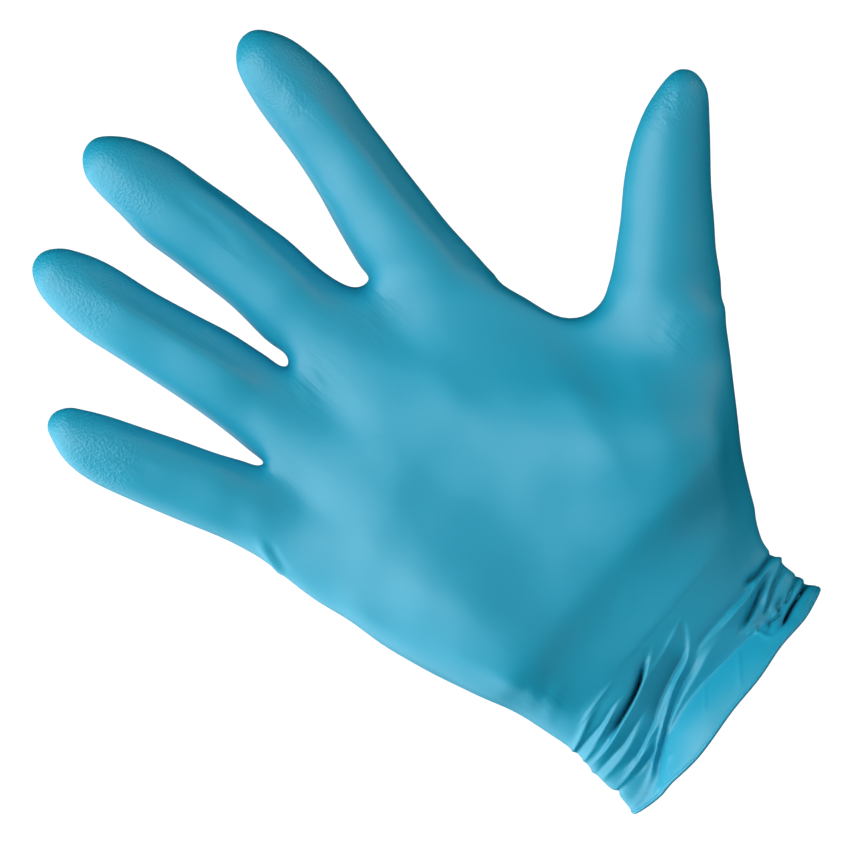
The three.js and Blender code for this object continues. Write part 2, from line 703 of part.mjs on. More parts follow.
// The whole film: folded outer skin, inner skin one wall inside it, and the bead between them.
function gloveSkin() {
  const { skin, hem } = outerSkin();
  const normals = skin.normals();
  const outerCount = skin.points.length;
  const outerFaces = [...skin.faces];
  for (let index = 0; index < outerCount; index += 1) {
    const point = skin.points[index];
    point.addScaledVector(normals[index], foldHeight(point));
  }
  for (let index = 0; index < outerCount; index += 1) {
    const inner = skin.points[index].clone().addScaledVector(normals[index], -filmWall);
    skin.add(inner.x, inner.y, inner.z);
  }
  for (const [a, b, c, d] of outerFaces) {
    skin.face(d + outerCount, c + outerCount, b + outerCount, a + outerCount);
  }
  const radius = beadDiameter / 2;
  const rolls = beadPoints.map((place) => hem.map((index) => {
    const level = new THREE.Vector3(normals[index].x, normals[index].y, 0).normalize();
    const point = skin.points[index].clone();
    point.addScaledVector(level, place.out * radius - filmWall / 2);
    return skin.add(point.x, point.y, point.z - place.down * radius - radius);
  }));
  const inner = hem.map((index) => index + outerCount);
  [...rolls, inner].forEach((ring, index) => skin.band(ring, index === 0 ? hem : rolls[index - 1]));
  return skin;
}

// Splits each four-cornered face along its shorter diagonal.
function skinGeometry(skin) {
  const positions = skin.points.flatMap((point) => point.toArray());
  const triangles = [];
  for (const [a, b, c, d] of skin.faces) {
    const first = skin.points[a].distanceTo(skin.points[c]);
    const second = skin.points[b].distanceTo(skin.points[d]);
    triangles.push(...(first <= second ? [a, b, c, a, c, d] : [a, b, d, b, c, d]));
  }
  const geometry = new THREE.BufferGeometry();
  geometry.setAttribute("position", new THREE.Float32BufferAttribute(positions, 3));
  geometry.setIndex(triangles);
  geometry.computeVertexNormals();
  return geometry;
}

const nitrile = new THREE.MeshStandardMaterial({ color: 0x2f9ab9, roughness: 0.45, metalness: 0 });

const glove = new THREE.Mesh(skinGeometry(gloveSkin()), nitrile);
glove.name = "glove";

const part = new THREE.Group();
part.add(glove);

export default part;
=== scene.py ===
"""Looks of a nitrile exam glove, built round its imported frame.

One dipped film makes the whole glove: cuff, palm, fingers and thumb. Its smooth form is a cage of
four-cornered faces, subdivided and then creased. The rolled bead follows the hem. Palm to -Y,
thumb to +X, fingers up, metres.
"""

import math
from types import SimpleNamespace

import bpy
import numpy as np
from mathutils import Matrix, Vector


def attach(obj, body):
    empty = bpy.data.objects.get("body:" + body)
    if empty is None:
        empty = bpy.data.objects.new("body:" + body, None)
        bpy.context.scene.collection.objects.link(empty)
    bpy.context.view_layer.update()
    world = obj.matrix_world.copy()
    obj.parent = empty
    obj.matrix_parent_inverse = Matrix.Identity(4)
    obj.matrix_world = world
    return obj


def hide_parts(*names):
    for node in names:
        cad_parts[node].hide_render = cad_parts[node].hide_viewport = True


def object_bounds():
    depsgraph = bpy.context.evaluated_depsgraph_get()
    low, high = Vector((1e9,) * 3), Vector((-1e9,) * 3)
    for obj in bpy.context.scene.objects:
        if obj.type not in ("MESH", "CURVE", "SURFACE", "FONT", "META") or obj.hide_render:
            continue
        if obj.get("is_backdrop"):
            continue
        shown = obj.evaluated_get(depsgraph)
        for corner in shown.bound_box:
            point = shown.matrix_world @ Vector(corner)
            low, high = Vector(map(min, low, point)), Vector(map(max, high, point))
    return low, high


bl_info = {
    "name": "Nitrile Exam Glove",
    "version": (1, 0, 0),
    "blender": (4, 5, 0),
    "location": "View3D > Sidebar > Exam Glove",
    "description": "Builds a nitrile exam glove in its worn form, with its finish and studio",
    "category": "Object",
}

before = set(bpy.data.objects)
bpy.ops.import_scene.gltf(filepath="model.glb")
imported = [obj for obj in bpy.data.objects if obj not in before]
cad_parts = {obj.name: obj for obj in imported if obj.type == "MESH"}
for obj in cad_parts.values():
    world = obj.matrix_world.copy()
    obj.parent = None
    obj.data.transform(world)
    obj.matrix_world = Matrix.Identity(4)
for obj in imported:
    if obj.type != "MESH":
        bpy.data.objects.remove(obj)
CAD_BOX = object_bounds()
MM = 0.001


# Tables

class Table:
    """Rows of numbers with named columns. The first column is the place that at() looks up."""

    def __init__(self, columns, *rows):
        self.columns = columns.split()
        self.rows = np.array(rows, float)

    def __iter__(self):
        for row in self.rows:
            yield SimpleNamespace(**dict(zip(self.columns, row)))

    def at(self, place, column):
        """Value of a column at a place, on a smooth curve through the rows."""
        places = self.rows[:, 0]
        values = self.rows[:, self.columns.index(column)]
        last = len(places) - 1
        row = int(np.clip(np.searchsorted(places, place, side="left") - 1, 0, last - 1))

        def slope(index):
            before, after = max(index - 1, 0), min(index + 1, last)
            return (values[after] - values[before]) / (places[after] - places[before])

        span = places[row + 1] - places[row]
        t = min(max((place - places[row]) / span, 0), 1)
        rise = t * t * (3 - 2 * t)
        leave = t * (1 - t) ** 2 * slope(row) * span
        arrive = t * t * (t - 1) * slope(row + 1) * span
        return values[row] + (values[row + 1] - values[row]) * rise + leave + arrive


# Marks on the outline where the palm ends: shares of the palm's width from the axis and of the
# palm's height from the wrist.
MARKS = {
    "little_edge": (-0.533, 0.737),
    "little_web": (-0.338, 0.895),
    "ring_web": (-0.096, 0.996),
    "middle_web": (0.191, 0.991),
    "index_edge": (0.468, 0.72),
    "fork_corner": (0.455, 0.535),
    "thumb_web": (0.611, 0.564),
    "thumb_edge": (0.804, 0.351),
}

# How far the cuff has opened on each side from the wrist (0) to the hem (1); up is a share of
# the cuff's length.
CUFF_SECTIONS = Table(
    "up little thumb front back",
    (0, 1, 1, 1, 1),
    (0.12, 0.55, 1, 0.9, 0.8),
    (0.3, 0.3, 1.12, 0.72, 0.55),
    (0.5, -0.2, 1.15, 0.4, 0.3),
    (0.7, -0.5, 1.02, 0.12, 0.12),
    (0.86, -0.3, 0.55, -0.02, 0.03),
    (1, 0, 0, 0, 0),
)

# Palm from the wrist (0) to the finger bases (1): how far each edge has gone to its mark, and
# the depths as shares of the palm's thickness.
PALM_SECTIONS = Table(
    "along little thumb front back",
    (0, 0, 0, 0.585, 0.62),
    (0.12, 0.11, 0.09, 0.6, 0.59),
    (0.25, 0.32, 0.21, 0.67, 0.54),
    (0.4, 0.56, 0.36, 0.69, 0.5),
    (0.55, 0.73, 0.53, 0.65, 0.47),
    (0.7, 0.83, 0.68, 0.58, 0.46),
    (0.85, 0.95, 0.84, 0.5, 0.44),
    (1, 1, 1, 0.43, 0.4),
)

# Pads and hollows of the hand under the film, as shares of the palm's width, height and
# thickness; turn is the pad's lean in degrees.
PAD_COLUMNS = "across up reach_across reach_up turn height"
FRONT_PADS = Table(
    PAD_COLUMNS,
    (0.42, 0.27, 0.16, 0.3, -38, 0.27),
    (-0.3, 0.3, 0.14, 0.27, 6, 0.13),
    (-0.03, 0.42, 0.2, 0.3, -8, -0.08),
    (-0.4, 0.7, 0.1, 0.1, 10, 0.035),
    (-0.19, 0.8, 0.1, 0.1, 0, 0.035),
    (0.06, 0.84, 0.1, 0.1, 0, 0.035),
    (0.3, 0.78, 0.1, 0.1, -12, 0.045),
)
BACK_PADS = Table(
    PAD_COLUMNS,
    (-0.42, 0.66, 0.07, 0.08, 12, 0.08),
    (-0.2, 0.75, 0.075, 0.09, 5, 0.1),
    (0.05, 0.78, 0.08, 0.09, 0, 0.11),
    (0.29, 0.72, 0.08, 0.09, -8, 0.1),
    (0.02, 0.35, 0.3, 0.25, 0, 0.05),
)

# Finger sections: width and drift to the thumb side are shares of the finger's width.
SECTION_COLUMNS = "along width drift"
LITTLE_SECTIONS = Table(
    SECTION_COLUMNS,
    (0, 1.12, 0), (0.1, 1.05, -0.01), (0.22, 1, -0.04), (0.42, 0.96, -0.08),
    (0.6, 0.92, -0.11), (0.76, 0.84, -0.12), (0.87, 0.7, -0.1), (0.95, 0.47, -0.05),
    (1, 0.2, 0),
)
RING_SECTIONS = Table(
    SECTION_COLUMNS,
    (0, 1.08, 0), (0.06, 1.02, 0), (0.14, 0.99, 0.01), (0.33, 0.955, 0.01),
    (0.5, 0.89, -0.02), (0.72, 0.875, -0.035), (0.83, 0.8, -0.03), (0.92, 0.63, -0.025),
    (0.97, 0.43, -0.015), (1, 0.2, 0),
)
MIDDLE_SECTIONS = Table(
    SECTION_COLUMNS,
    (0, 1.1, 0), (0.05, 1.02, 0), (0.12, 1, -0.01), (0.28, 0.98, 0.03),
    (0.5, 0.95, 0.025), (0.66, 0.94, 0.015), (0.78, 0.855, 0.025), (0.88, 0.73, 0.005),
    (0.955, 0.51, -0.025), (1, 0.22, 0),
)
INDEX_SECTIONS = Table(
    SECTION_COLUMNS,
    (0, 1.12, 0), (0.2, 1.05, 0.005), (0.4, 0.96, 0.05), (0.56, 0.885, 0.09),
    (0.7, 0.9, 0.11), (0.82, 0.83, 0.085), (0.91, 0.67, 0.06), (0.965, 0.45, 0.035),
    (1, 0.2, 0),
)
THUMB_SECTIONS = Table(
    SECTION_COLUMNS,
    (0, 1.07, 0), (0.14, 0.968, 0), (0.26, 0.9, -0.02), (0.4, 0.84, -0.04),
    (0.57, 0.765, -0.064), (0.72, 0.68, -0.05), (0.845, 0.56, -0.02), (0.925, 0.42, 0.01),
    (1, 0.2, 0.01),
)

# Fingers from little finger to thumb: the marks at their bases, size in millimetres, lean of the
# line from base to tip, depth as a share of the width, rows of the cage, forward curl of the
# tip, and where the textured tip starts as a share of the length.
FINGER_COLUMNS = "start end length width lean thickness rows curl grain sections".split()
FINGERS = [
    SimpleNamespace(**dict(zip(FINGER_COLUMNS, row)))
    for row in (
        ("little_edge", "little_web", 60.4, 19.8, -17, 0.9, 10, 7, 0.57, LITTLE_SECTIONS),
        ("little_web", "ring_web", 73.2, 21.8, -7.9, 0.9, 11, 7, 0.64, RING_SECTIONS),
        ("ring_web", "middle_web", 76.4, 22.8, -3.4, 0.9, 11, 7, 0.66, MIDDLE_SECTIONS),
        ("middle_web", "index_edge", 81.9, 23.2, 10.7, 0.9, 11, 7, 0.66, INDEX_SECTIONS),
        ("thumb_web", "thumb_edge", 59.3, 28, 53.5, 0.84, 10, 9, 0.74, THUMB_SECTIONS),
    )
]

# Line of the hem: height in millimetres at angles round the cuff, from the middle of the palm
# side (0) over the thumb side (90).
HEM_LINE = Table(
    "angle height",
    (-180, 0.3), (-150, 0.8), (-120, 0.4), (-100, -0.4), (-88, -1), (-75, -1.7), (-58, -1.9),
    (-45, -1.6), (-24, -2.4), (0, -1), (16, -0.8), (33, 0.3), (50, -0.1), (62, 0), (80, 1),
    (95, 1.8), (120, 2.1), (150, 1.1), (180, 0.3),
)

# Cage: rows of faces, faces across a finger, across the gap to the thumb and on a finger's side
CUFF_ROWS = 24
PALM_ROWS = 13
FINGER_QUADS = 4
GAP_QUADS = 3
SIDE_QUADS = 3
GAP_START = 4 * FINGER_QUADS
THUMB_START = GAP_START + GAP_QUADS
FRONT_QUADS = THUMB_START + FINGER_QUADS
RING_POINTS = 2 * FINGER_QUADS + 2 * SIDE_QUADS

# Shape of a closed section, and how the palm passes into the fingers
SECTION_POWER = 2.3
EDGE_INSET = 0.06
SIDE_DEPTH = 0.2
PALM_BLEND_START = 0.7
BASE_INSET = 0.14
BASE_ROUNDNESS = 0.7
PAD_EDGE_FADE = 0.5
SLANT_FADE = 2
END_CROWDING = 0.75
CURL_EASE = 1.7
LAST_ROW = 0.94
CAP_ROUNDNESS = 0.6
RELAXED_PALM_ROWS = 3
RELAXED_FINGER_ROWS = 2
RELAX_PASSES = 3
RELAX_SHARE = 0.35
FIT_PASSES = 5
THUMB_LEAD = 8 * MM
PALM_CUPPING = 3 * MM
WEB_THICKNESS = 12 * MM
THUMB_WEB_THICKNESS = 17 * MM
WEB_FRONT_DROP = 3 * MM
WEB_BACK_DROP = 6 * MM
WEB_SADDLE = (0.28, 0.72)

# Height of the film's lower edge at the hem, as a share of the bead's diameter
HEM_LIFT = 0.75


def smooth(value, low, high):
    """Smooth step from 0 at low to 1 at high, for numbers and arrays."""
    t = np.clip((value - low) / (high - low), 0, 1)
    return t * t * (3 - 2 * t)


def mix(start, end, share):
    """The value at a share of the way from start to end."""
    return start + (end - start) * share


# Cage

class Cage:
    """Points and four-cornered faces that point outwards."""

    def __init__(self):
        self.points = []
        self.faces = []

    def add(self, x, y, z):
        """Adds a point and says its number."""
        self.points.append(np.array((x, y, z), float))
        return len(self.points) - 1

    def band(self, lower, upper):
        """Joins two rings of the same count, both anticlockwise seen from the tube's end."""
        for index, point in enumerate(lower):
            after = (index + 1) % len(lower)
            self.faces.append((point, lower[after], upper[after], upper[index]))

    def grid(self, lines):
        """Joins lines of the same count, each to the next."""
        for near, far in zip(lines, lines[1:]):
            for column in range(len(near) - 1):
                self.faces.append((near[column], near[column + 1], far[column + 1], far[column]))

    def relax(self, indexes, share):
        """Moves some points part of the way to the middle of their neighbours."""
        neighbours = [set() for _ in self.points]
        for face in self.faces:
            for corner, point in enumerate(face):
                neighbours[point].update((face[(corner + 1) % 4], face[corner - 1]))
        targets = [
            np.mean([self.points[other] for other in neighbours[index]], axis=0)
            for index in indexes
        ]
        for index, target in zip(indexes, targets):
            self.points[index] = mix(self.points[index], target, share)

    def normals(self):
        """Outward direction at each point."""
        points = np.array(self.points)
        sums = np.zeros_like(points)
        corners = points[np.array(self.faces)]
        for place in range(4):
            across = np.cross(corners[:, 2] - corners[:, 0], corners[:, 3] - corners[:, 1])
            np.add.at(sums, np.array(self.faces)[:, place], across)
        return sums / np.linalg.norm(sums, axis=1)[:, None]

    def rest_on_skin(self):
        """Moves the cage out until its rounded surface runs at the height it has now. Each pass
        works out where subdivision takes the points: on the rim from the rim's points alone, and
        elsewhere from those on the same edges and faces."""
        count = len(self.points)
        edges = [set() for _ in range(count)]
        corners = [set() for _ in range(count)]
        uses = {}
        for face in self.faces:
            for corner, point in enumerate(face):
                after = face[(corner + 1) % 4]
                edges[point].update((after, face[corner - 1]))
                corners[point].add(face[(corner + 2) % 4])
                key = (min(point, after), max(point, after))
                uses[key] = uses.get(key, 0) + 1
        rims = {}
        for (start, end), used in uses.items():
            if used == 1:
                rims.setdefault(start, []).append(end)
                rims.setdefault(end, []).append(start)
        targets = np.array(self.points)
        normals = self.normals()
        points = targets.copy()
        for _ in range(FIT_PASSES):
            rounded = np.empty_like(points)
            for index in range(count):
                if index in rims:
                    rounded[index] = (4 * points[index] + points[rims[index]].sum(axis=0)) / 6
                    continue
                valence = len(edges[index])
                rounded[index] = (
                    valence ** 2 * points[index]
                    + 4 * points[list(edges[index])].sum(axis=0)
                    + points[list(corners[index])].sum(axis=0)
                ) / (valence * (valence + 5))
            points += normals * ((targets - rounded) * normals).sum(axis=1)[:, None]
        self.points = list(points)


class GloveForm:
    """The glove's smooth outer skin as a cage, from the sizes of the hand and the cuff."""

    def __init__(self, sizes):
        self.sizes = sizes
        self.cage = Cage()
        self.wrist = [sizes.wrist_shift + side * sizes.wrist_width / 2 for side in (-1, 1)]
        self.hem = [side * sizes.hem_width / 2 for side in (-1, 1)]
        self.build()

    def mark(self, name):
        """Place of a mark on the outline, as x and z."""
        across, up = MARKS[name]
        return np.array((
            across * self.sizes.palm_width,
            self.sizes.cuff_length + up * self.sizes.palm_height,
        ))

    def pad_height(self, pads, x, z):
        """Height of pads at a place of the palm or the back."""
        sizes = self.sizes
        height = 0
        for pad in pads:
            turn = math.radians(pad.turn)
            dx = x - pad.across * sizes.palm_width
            dz = z - sizes.cuff_length - pad.up * sizes.palm_height
            across = dx * math.cos(turn) - dz * math.sin(turn)
            along = dx * math.sin(turn) + dz * math.cos(turn)
            across /= pad.reach_across * sizes.palm_width
            along /= pad.reach_up * sizes.palm_height
            height += pad.height * sizes.palm_thickness * math.exp(-across ** 2 - along ** 2)
        return height

    def closed_row(self, ends, depths, middle, shift=None, finish=None):
        """One closed row of the cuff or palm: front chain, right pair, back chain, left pair."""
        chains = {}
        for face in (-1, 1):
            indexes = []
            for order in range(FRONT_QUADS + 1):
                across = EDGE_INSET + (1 - 2 * EDGE_INSET) * order / FRONT_QUADS
                side = 2 * across - 1
                x, z = mix(ends[0], ends[1], across)
                if shift:
                    x, z = (x, z) + shift(order, face)
                y = middle(side) + face * depths[face] * section_rise(side)
                if finish:
                    y = finish(order, face, x, y, z)
                indexes.append(self.cage.add(x, y, z))
            chains[face] = indexes
        pairs = []
        for side, end in ((1, ends[1]), (-1, ends[0])):
            pairs.append([
                self.cage.add(end[0], middle(side) + face * SIDE_DEPTH * depths[face], end[1])
                for face in (-1, 1)
            ])
        return SimpleNamespace(front=chains[-1], right=pairs[0], back=chains[1], left=pairs[1])

    def cuff_row(self, up):
        """Row of the cuff at a share of its length over the hem."""
        sizes = self.sizes
        level = mix(HEM_LIFT * sizes.bead_diameter, sizes.cuff_length, up)
        opened = {name: CUFF_SECTIONS.at(up, name) for name in CUFF_SECTIONS.columns[1:]}
        ends = [
            np.array((mix(self.wrist[0], self.hem[0], opened["little"]), level)),
            np.array((mix(self.wrist[1], self.hem[1], opened["thumb"]), level)),
        ]
        depths = {
            -1: mix(sizes.wrist_depth, sizes.hem_depth, opened["front"]) / 2,
            1: mix(sizes.wrist_depth, sizes.hem_depth, opened["back"]) / 2,
        }
        row = self.closed_row(ends, depths, lambda side: 0)
        for index in ring_of(row):
            point = self.cage.points[index]
            angle = math.atan2(point[0] / sizes.hem_width, -point[1] / sizes.hem_depth)
            rise = HEM_LINE.at(math.degrees(angle), "height") * MM
            point[2] += rise * (1 - up) ** 2
        return row

    def base_line(self, face):
        """Places of the palm's last row: finger bases, the gap to the thumb, the thumb's base."""
        drop = WEB_FRONT_DROP if face < 0 else WEB_BACK_DROP
        places = []

        def run(start, end, quads, corner=None, first=0, last=1):
            a, b = self.mark(start), self.mark(end)
            bend = (a + b) / 2 if corner is None else self.mark(corner)
            for step in range(0 if not places else 1, quads + 1):
                t = mix(first, last, step / quads)
                place = (1 - t) ** 2 * a + 2 * t * (1 - t) * bend + t * t * b
                places.append(place - (0, drop))

        run("little_edge", "little_web", FINGER_QUADS, first=BASE_INSET)
        run("little_web", "ring_web", FINGER_QUADS)
        run("ring_web", "middle_web", FINGER_QUADS)
        run("middle_web", "index_edge", FINGER_QUADS)
        run("index_edge", "thumb_web", GAP_QUADS, corner="fork_corner")
        run("thumb_web", "thumb_edge", FINGER_QUADS, last=1 - BASE_INSET)
        return places

    def base_depth(self, order):
        """Depth of the palm's last row: full over a finger, less at a web."""
        if GAP_START <= order <= THUMB_START:
            return THUMB_WEB_THICKNESS / 2
        on_thumb = order > THUMB_START
        finger = FINGERS[4] if on_thumb else FINGERS[order // FINGER_QUADS]
        share = (order - (THUMB_START if on_thumb else 0)) % FINGER_QUADS / FINGER_QUADS
        full = finger.width * MM * finger.thickness / 2
        edge = (THUMB_WEB_THICKNESS if on_thumb else WEB_THICKNESS) / 2
        return mix(edge, full, math.sin(math.pi * share) ** BASE_ROUNDNESS)

    def palm_row(self, along, lines):
        """Row of the palm, where along is 0 at the wrist and 1 on the lines of the bases."""
        sizes = self.sizes
        little_edge, thumb_edge = self.mark("little_edge"), self.mark("thumb_edge")
        ends = [
            np.array((
                mix(self.wrist[0], little_edge[0], PALM_SECTIONS.at(along, "little")),
                mix(sizes.cuff_length, little_edge[1], along),
            )),
            np.array((
                mix(self.wrist[1], thumb_edge[0], PALM_SECTIONS.at(along, "thumb")),
                mix(sizes.cuff_length, thumb_edge[1], along),
            )),
        ]
        depths = {
            -1: PALM_SECTIONS.at(along, "front") * sizes.palm_thickness,
            1: PALM_SECTIONS.at(along, "back") * sizes.palm_thickness,
        }
        blend = float(smooth(along, PALM_BLEND_START, 1))

        def shift(order, face):
            across = EDGE_INSET + (1 - 2 * EDGE_INSET) * order / FRONT_QUADS
            return (lines[face][order] - mix(little_edge, thumb_edge, across)) * along

        def finish(order, face, x, y, z):
            side = 2 * order / FRONT_QUADS - 1
            pads = FRONT_PADS if face < 0 else BACK_PADS
            pad = self.pad_height(pads, x, z) * section_rise(side) ** PAD_EDGE_FADE
            last = middle_lean(side, 1) + face * self.base_depth(order)
            return mix(y + face * pad, last, blend)

        return self.closed_row(
            ends, depths, lambda side: middle_lean(side, along), shift, finish
        )

    def web_pair(self, front, back, name):
        """The two points between front and back of a web, at the height of its saddle."""
        x, z = self.mark(name)
        points = self.cage.points
        return [
            self.cage.add(x, mix(points[front][1], points[back][1], share), z)
            for share in WEB_SADDLE
        ]

    def raise_finger(self, finger, base):
        """Builds one finger on its base ring and closes its tip."""
        lean = math.radians(finger.lean)
        axis = np.array((math.sin(lean), 0, math.cos(lean)))
        across = np.array((math.cos(lean), 0, -math.sin(lean)))
        start, end = self.mark(finger.start), self.mark(finger.end)
        middle = np.array(((start[0] + end[0]) / 2, 0, (start[1] + end[1]) / 2))
        middle[1] = np.mean([self.cage.points[index][1] for index in base])
        length, width = finger.length * MM, finger.width * MM
        slant = ((end[0] - start[0]) * axis[0] + (end[1] - start[1]) * axis[2]) / 2
        rows = [base]
        for row in range(1, finger.rows + 1):
            share = row / finger.rows
            crowded = (1 - math.cos(math.pi * share)) / 2
            level = LAST_ROW * mix(share, crowded, END_CROWDING)
            tilt = slant / length * (1 - share) ** SLANT_FADE
            ring = []
            for order in range(RING_POINTS):
                angle = ring_angle(order)
                along = level + tilt * math.cos(angle)
                half = finger.sections.at(along, "width") * width / 2
                drift = finger.sections.at(along, "drift") * width
                point = middle + axis * along * length
                point = point + across * (drift + half * math.cos(angle))
                point[1] += half * finger.thickness * math.sin(angle)
                point[1] -= finger.curl * MM * max(along, 0) ** CURL_EASE
                ring.append(self.cage.add(*point))
            rows.append(ring)
            self.cage.band(rows[-2], rows[-1])
        self.close_tip(rows[-1], axis * (1 - LAST_ROW) * length)
        return rows

    def close_tip(self, ring, rise):
        """Closes a finger's last ring with a small domed grid."""
        points = self.cage.points
        back_start = FINGER_QUADS + SIDE_QUADS
        front = ring[:FINGER_QUADS + 1]
        right = ring[FINGER_QUADS + 1:back_start]
        back = ring[back_start:back_start + FINGER_QUADS + 1][::-1]
        left = ring[back_start + FINGER_QUADS + 1:][::-1]
        lines = [front]
        for row in range(1, SIDE_QUADS):
            deep = row / SIDE_QUADS
            line = [left[row - 1]]
            for column in range(1, FINGER_QUADS):
                wide = column / FINGER_QUADS
                sides = mix(points[left[row - 1]], points[right[row - 1]], wide)
                ends = mix(points[front[column]], points[back[column]], deep)
                dome = math.sin(math.pi * wide) * math.sin(math.pi * deep)
                point = (sides + ends) / 2 + rise * dome ** CAP_ROUNDNESS
                line.append(self.cage.add(*point))
            line.append(right[row - 1])
            lines.append(line)
        lines.append(back)
        self.cage.grid(lines)

    def build(self):
        """Builds the tube of cuff and palm, the webs, the gap to the thumb and the fingers."""
        cage = self.cage
        rows = [self.cuff_row(step / CUFF_ROWS) for step in range(CUFF_ROWS + 1)]
        lines = {-1: self.base_line(-1), 1: self.base_line(1)}
        rows += [self.palm_row(step / PALM_ROWS, lines) for step in range(1, PALM_ROWS + 1)]
        rings = [ring_of(row) for row in rows]
        for lower, upper in zip(rings, rings[1:]):
            cage.band(lower, upper)

        last = rows[-1]
        between = {0: last.left, FRONT_QUADS: last.right}
        for order, name in (
            (FINGER_QUADS, "little_web"), (2 * FINGER_QUADS, "ring_web"),
            (3 * FINGER_QUADS, "middle_web"), (GAP_START, "index_edge"),
            (THUMB_START, "thumb_web"),
        ):
            between[order] = self.web_pair(last.front[order], last.back[order], name)
        for order in range(GAP_START + 1, THUMB_START):
            share = (order - GAP_START) / GAP_QUADS
            x, z = lines[-1][order]
            between[order] = [
                cage.add(x, mix(cage.points[start][1], cage.points[end][1], share),
                         z + WEB_FRONT_DROP)
                for start, end in zip(between[GAP_START], between[THUMB_START])
            ]
        gap = [
            [between[order][row] for order in range(GAP_START, THUMB_START + 1)]
            for row in (0, 1)
        ]
        span = slice(GAP_START, THUMB_START + 1)
        cage.grid([last.front[span], *gap, last.back[span]])

        loose = dict.fromkeys(gap[0] + gap[1])
        for row in rows[-1 - RELAXED_PALM_ROWS:]:
            loose.update(dict.fromkeys(row.front + row.back))
        for order, finger in enumerate(FINGERS):
            start = THUMB_START if finger is FINGERS[4] else order * FINGER_QUADS
            end = start + FINGER_QUADS
            base = [
                *last.front[start:end + 1], *between[end],
                *last.back[start:end + 1][::-1], *between[start][::-1],
            ]
            for ring in self.raise_finger(finger, base)[1:1 + RELAXED_FINGER_ROWS]:
                loose.update(dict.fromkeys(
                    index for place, index in enumerate(ring) if not on_ring_side(place)
                ))
        for _ in range(RELAX_PASSES):
            cage.relax(list(loose), RELAX_SHARE)
        cage.rest_on_skin()
        self.hem_ring = rings[0]


def section_rise(side):
    """Share of the way round a rounded section that the film stands out, 1 in the middle."""
    return (1 - abs(side) ** SECTION_POWER) ** (1 / SECTION_POWER)


def middle_lean(side, along):
    """The hand's middle surface leans forward towards the thumb and a little finger."""
    return -along * (THUMB_LEAD * max(side, 0) ** 2 + PALM_CUPPING * min(side, 0) ** 2)


def ring_of(row):
    """Order of a closed row's points, anticlockwise seen from the fingers."""
    return [*row.front, *row.right, *row.back[::-1], *row.left[::-1]]


def ring_angle(order):
    """Angle of a finger ring's point from +X, front chain first."""
    return (order - FINGER_QUADS / 2) * 2 * math.pi / RING_POINTS - math.pi / 2


def on_ring_side(order):
    """A ring's two pairs of side points carry the outline."""
    return order % (FINGER_QUADS + SIDE_QUADS) > FINGER_QUADS


# Creases

# Sharpness of a crest, where 2 is round and 1 a knife edge, how many widths a crease reaches
# from its path, and the share of the path over which each end fades out
CREASE_POWER = 1.4
CREASE_REACH = 4
CREASE_TAPER = 0.3


def crease(left, right, height, *path):
    """A crease along points (x, z): its half widths to the left and right of its run, and the
    height of its crest, minus for a groove. All in millimetres."""
    return SimpleNamespace(
        left=left * MM, right=right * MM, height=height * MM, path=rounded_path(path)
    )


def rounded_path(path, steps=5):
    """A smooth line through the points of a path, in metres."""
    points = np.array(path, float) * MM
    if len(points) < 3:
        return points
    ends = np.vstack((2 * points[0] - points[1], points, 2 * points[-1] - points[-2]))
    line = []
    for a, b, c, d in zip(ends, ends[1:], ends[2:], ends[3:]):
        for t in np.arange(steps) / steps:
            line.append(
                b + (c - a) * t / 2 + (2 * a - 5 * b + 4 * c - d) * t ** 2 / 2
                + (3 * b - a - 3 * c + d) * t ** 3 / 2
            )
    return np.array([*line, points[-1]])


def crease_heights(creases, places):
    """Height that creases add at places of the same plane."""
    heights = np.zeros(len(places))
    for row in creases:
        reach = CREASE_REACH * max(row.left, row.right)
        low, high = row.path.min(axis=0) - reach, row.path.max(axis=0) + reach
        near = np.flatnonzero(np.all((places > low) & (places < high), axis=1))
        if len(near):
            away, share = along_path(row.path, places[near])
            taper = smooth(share, 0, CREASE_TAPER) * smooth(1 - share, 0, CREASE_TAPER)
            width = np.where(away > 0, row.left, row.right)
            crest = np.exp(-np.abs(away / width) ** CREASE_POWER)
            heights[near] += row.height * taper * crest
    return heights


def along_path(path, places):
    """Distance from a path, plus on its left, and share of the path at the nearest point."""
    starts, runs = path[:-1], np.diff(path, axis=0)
    lengths = np.linalg.norm(runs, axis=1)
    offsets = places[:, None] - starts
    shares = np.clip((offsets * runs).sum(axis=2) / lengths ** 2, 0, 1)
    gaps = offsets - runs * shares[..., None]
    distances = np.linalg.norm(gaps, axis=2)
    best = distances.argmin(axis=1)
    rows = np.arange(len(places))
    gap, run = gaps[rows, best], runs[best]
    sides = np.sign(run[:, 0] * gap[:, 1] - run[:, 1] * gap[:, 0])
    before = np.concatenate(((0,), np.cumsum(lengths)[:-1]))
    share = (before[best] + shares[rows, best] * lengths[best]) / lengths.sum()
    return sides * distances[rows, best], share


# Chart round the cuff: film length from the middle of the palm side, for each angle
CUFF_HALF_WIDTH = 36.5 * MM
CUFF_HALF_DEPTH = 20 * MM
CHART_ANGLES = np.radians(np.arange(0, 181, 2))
CHART_LENGTHS = np.concatenate(((0,), np.cumsum(np.hypot(
    CUFF_HALF_WIDTH * np.diff(np.sin(CHART_ANGLES)),
    CUFF_HALF_DEPTH * np.diff(np.cos(CHART_ANGLES)),
))))

# Heights between which the folds of the cuff fade out into the palm
FOLD_FADE = (27 * MM, 34 * MM)


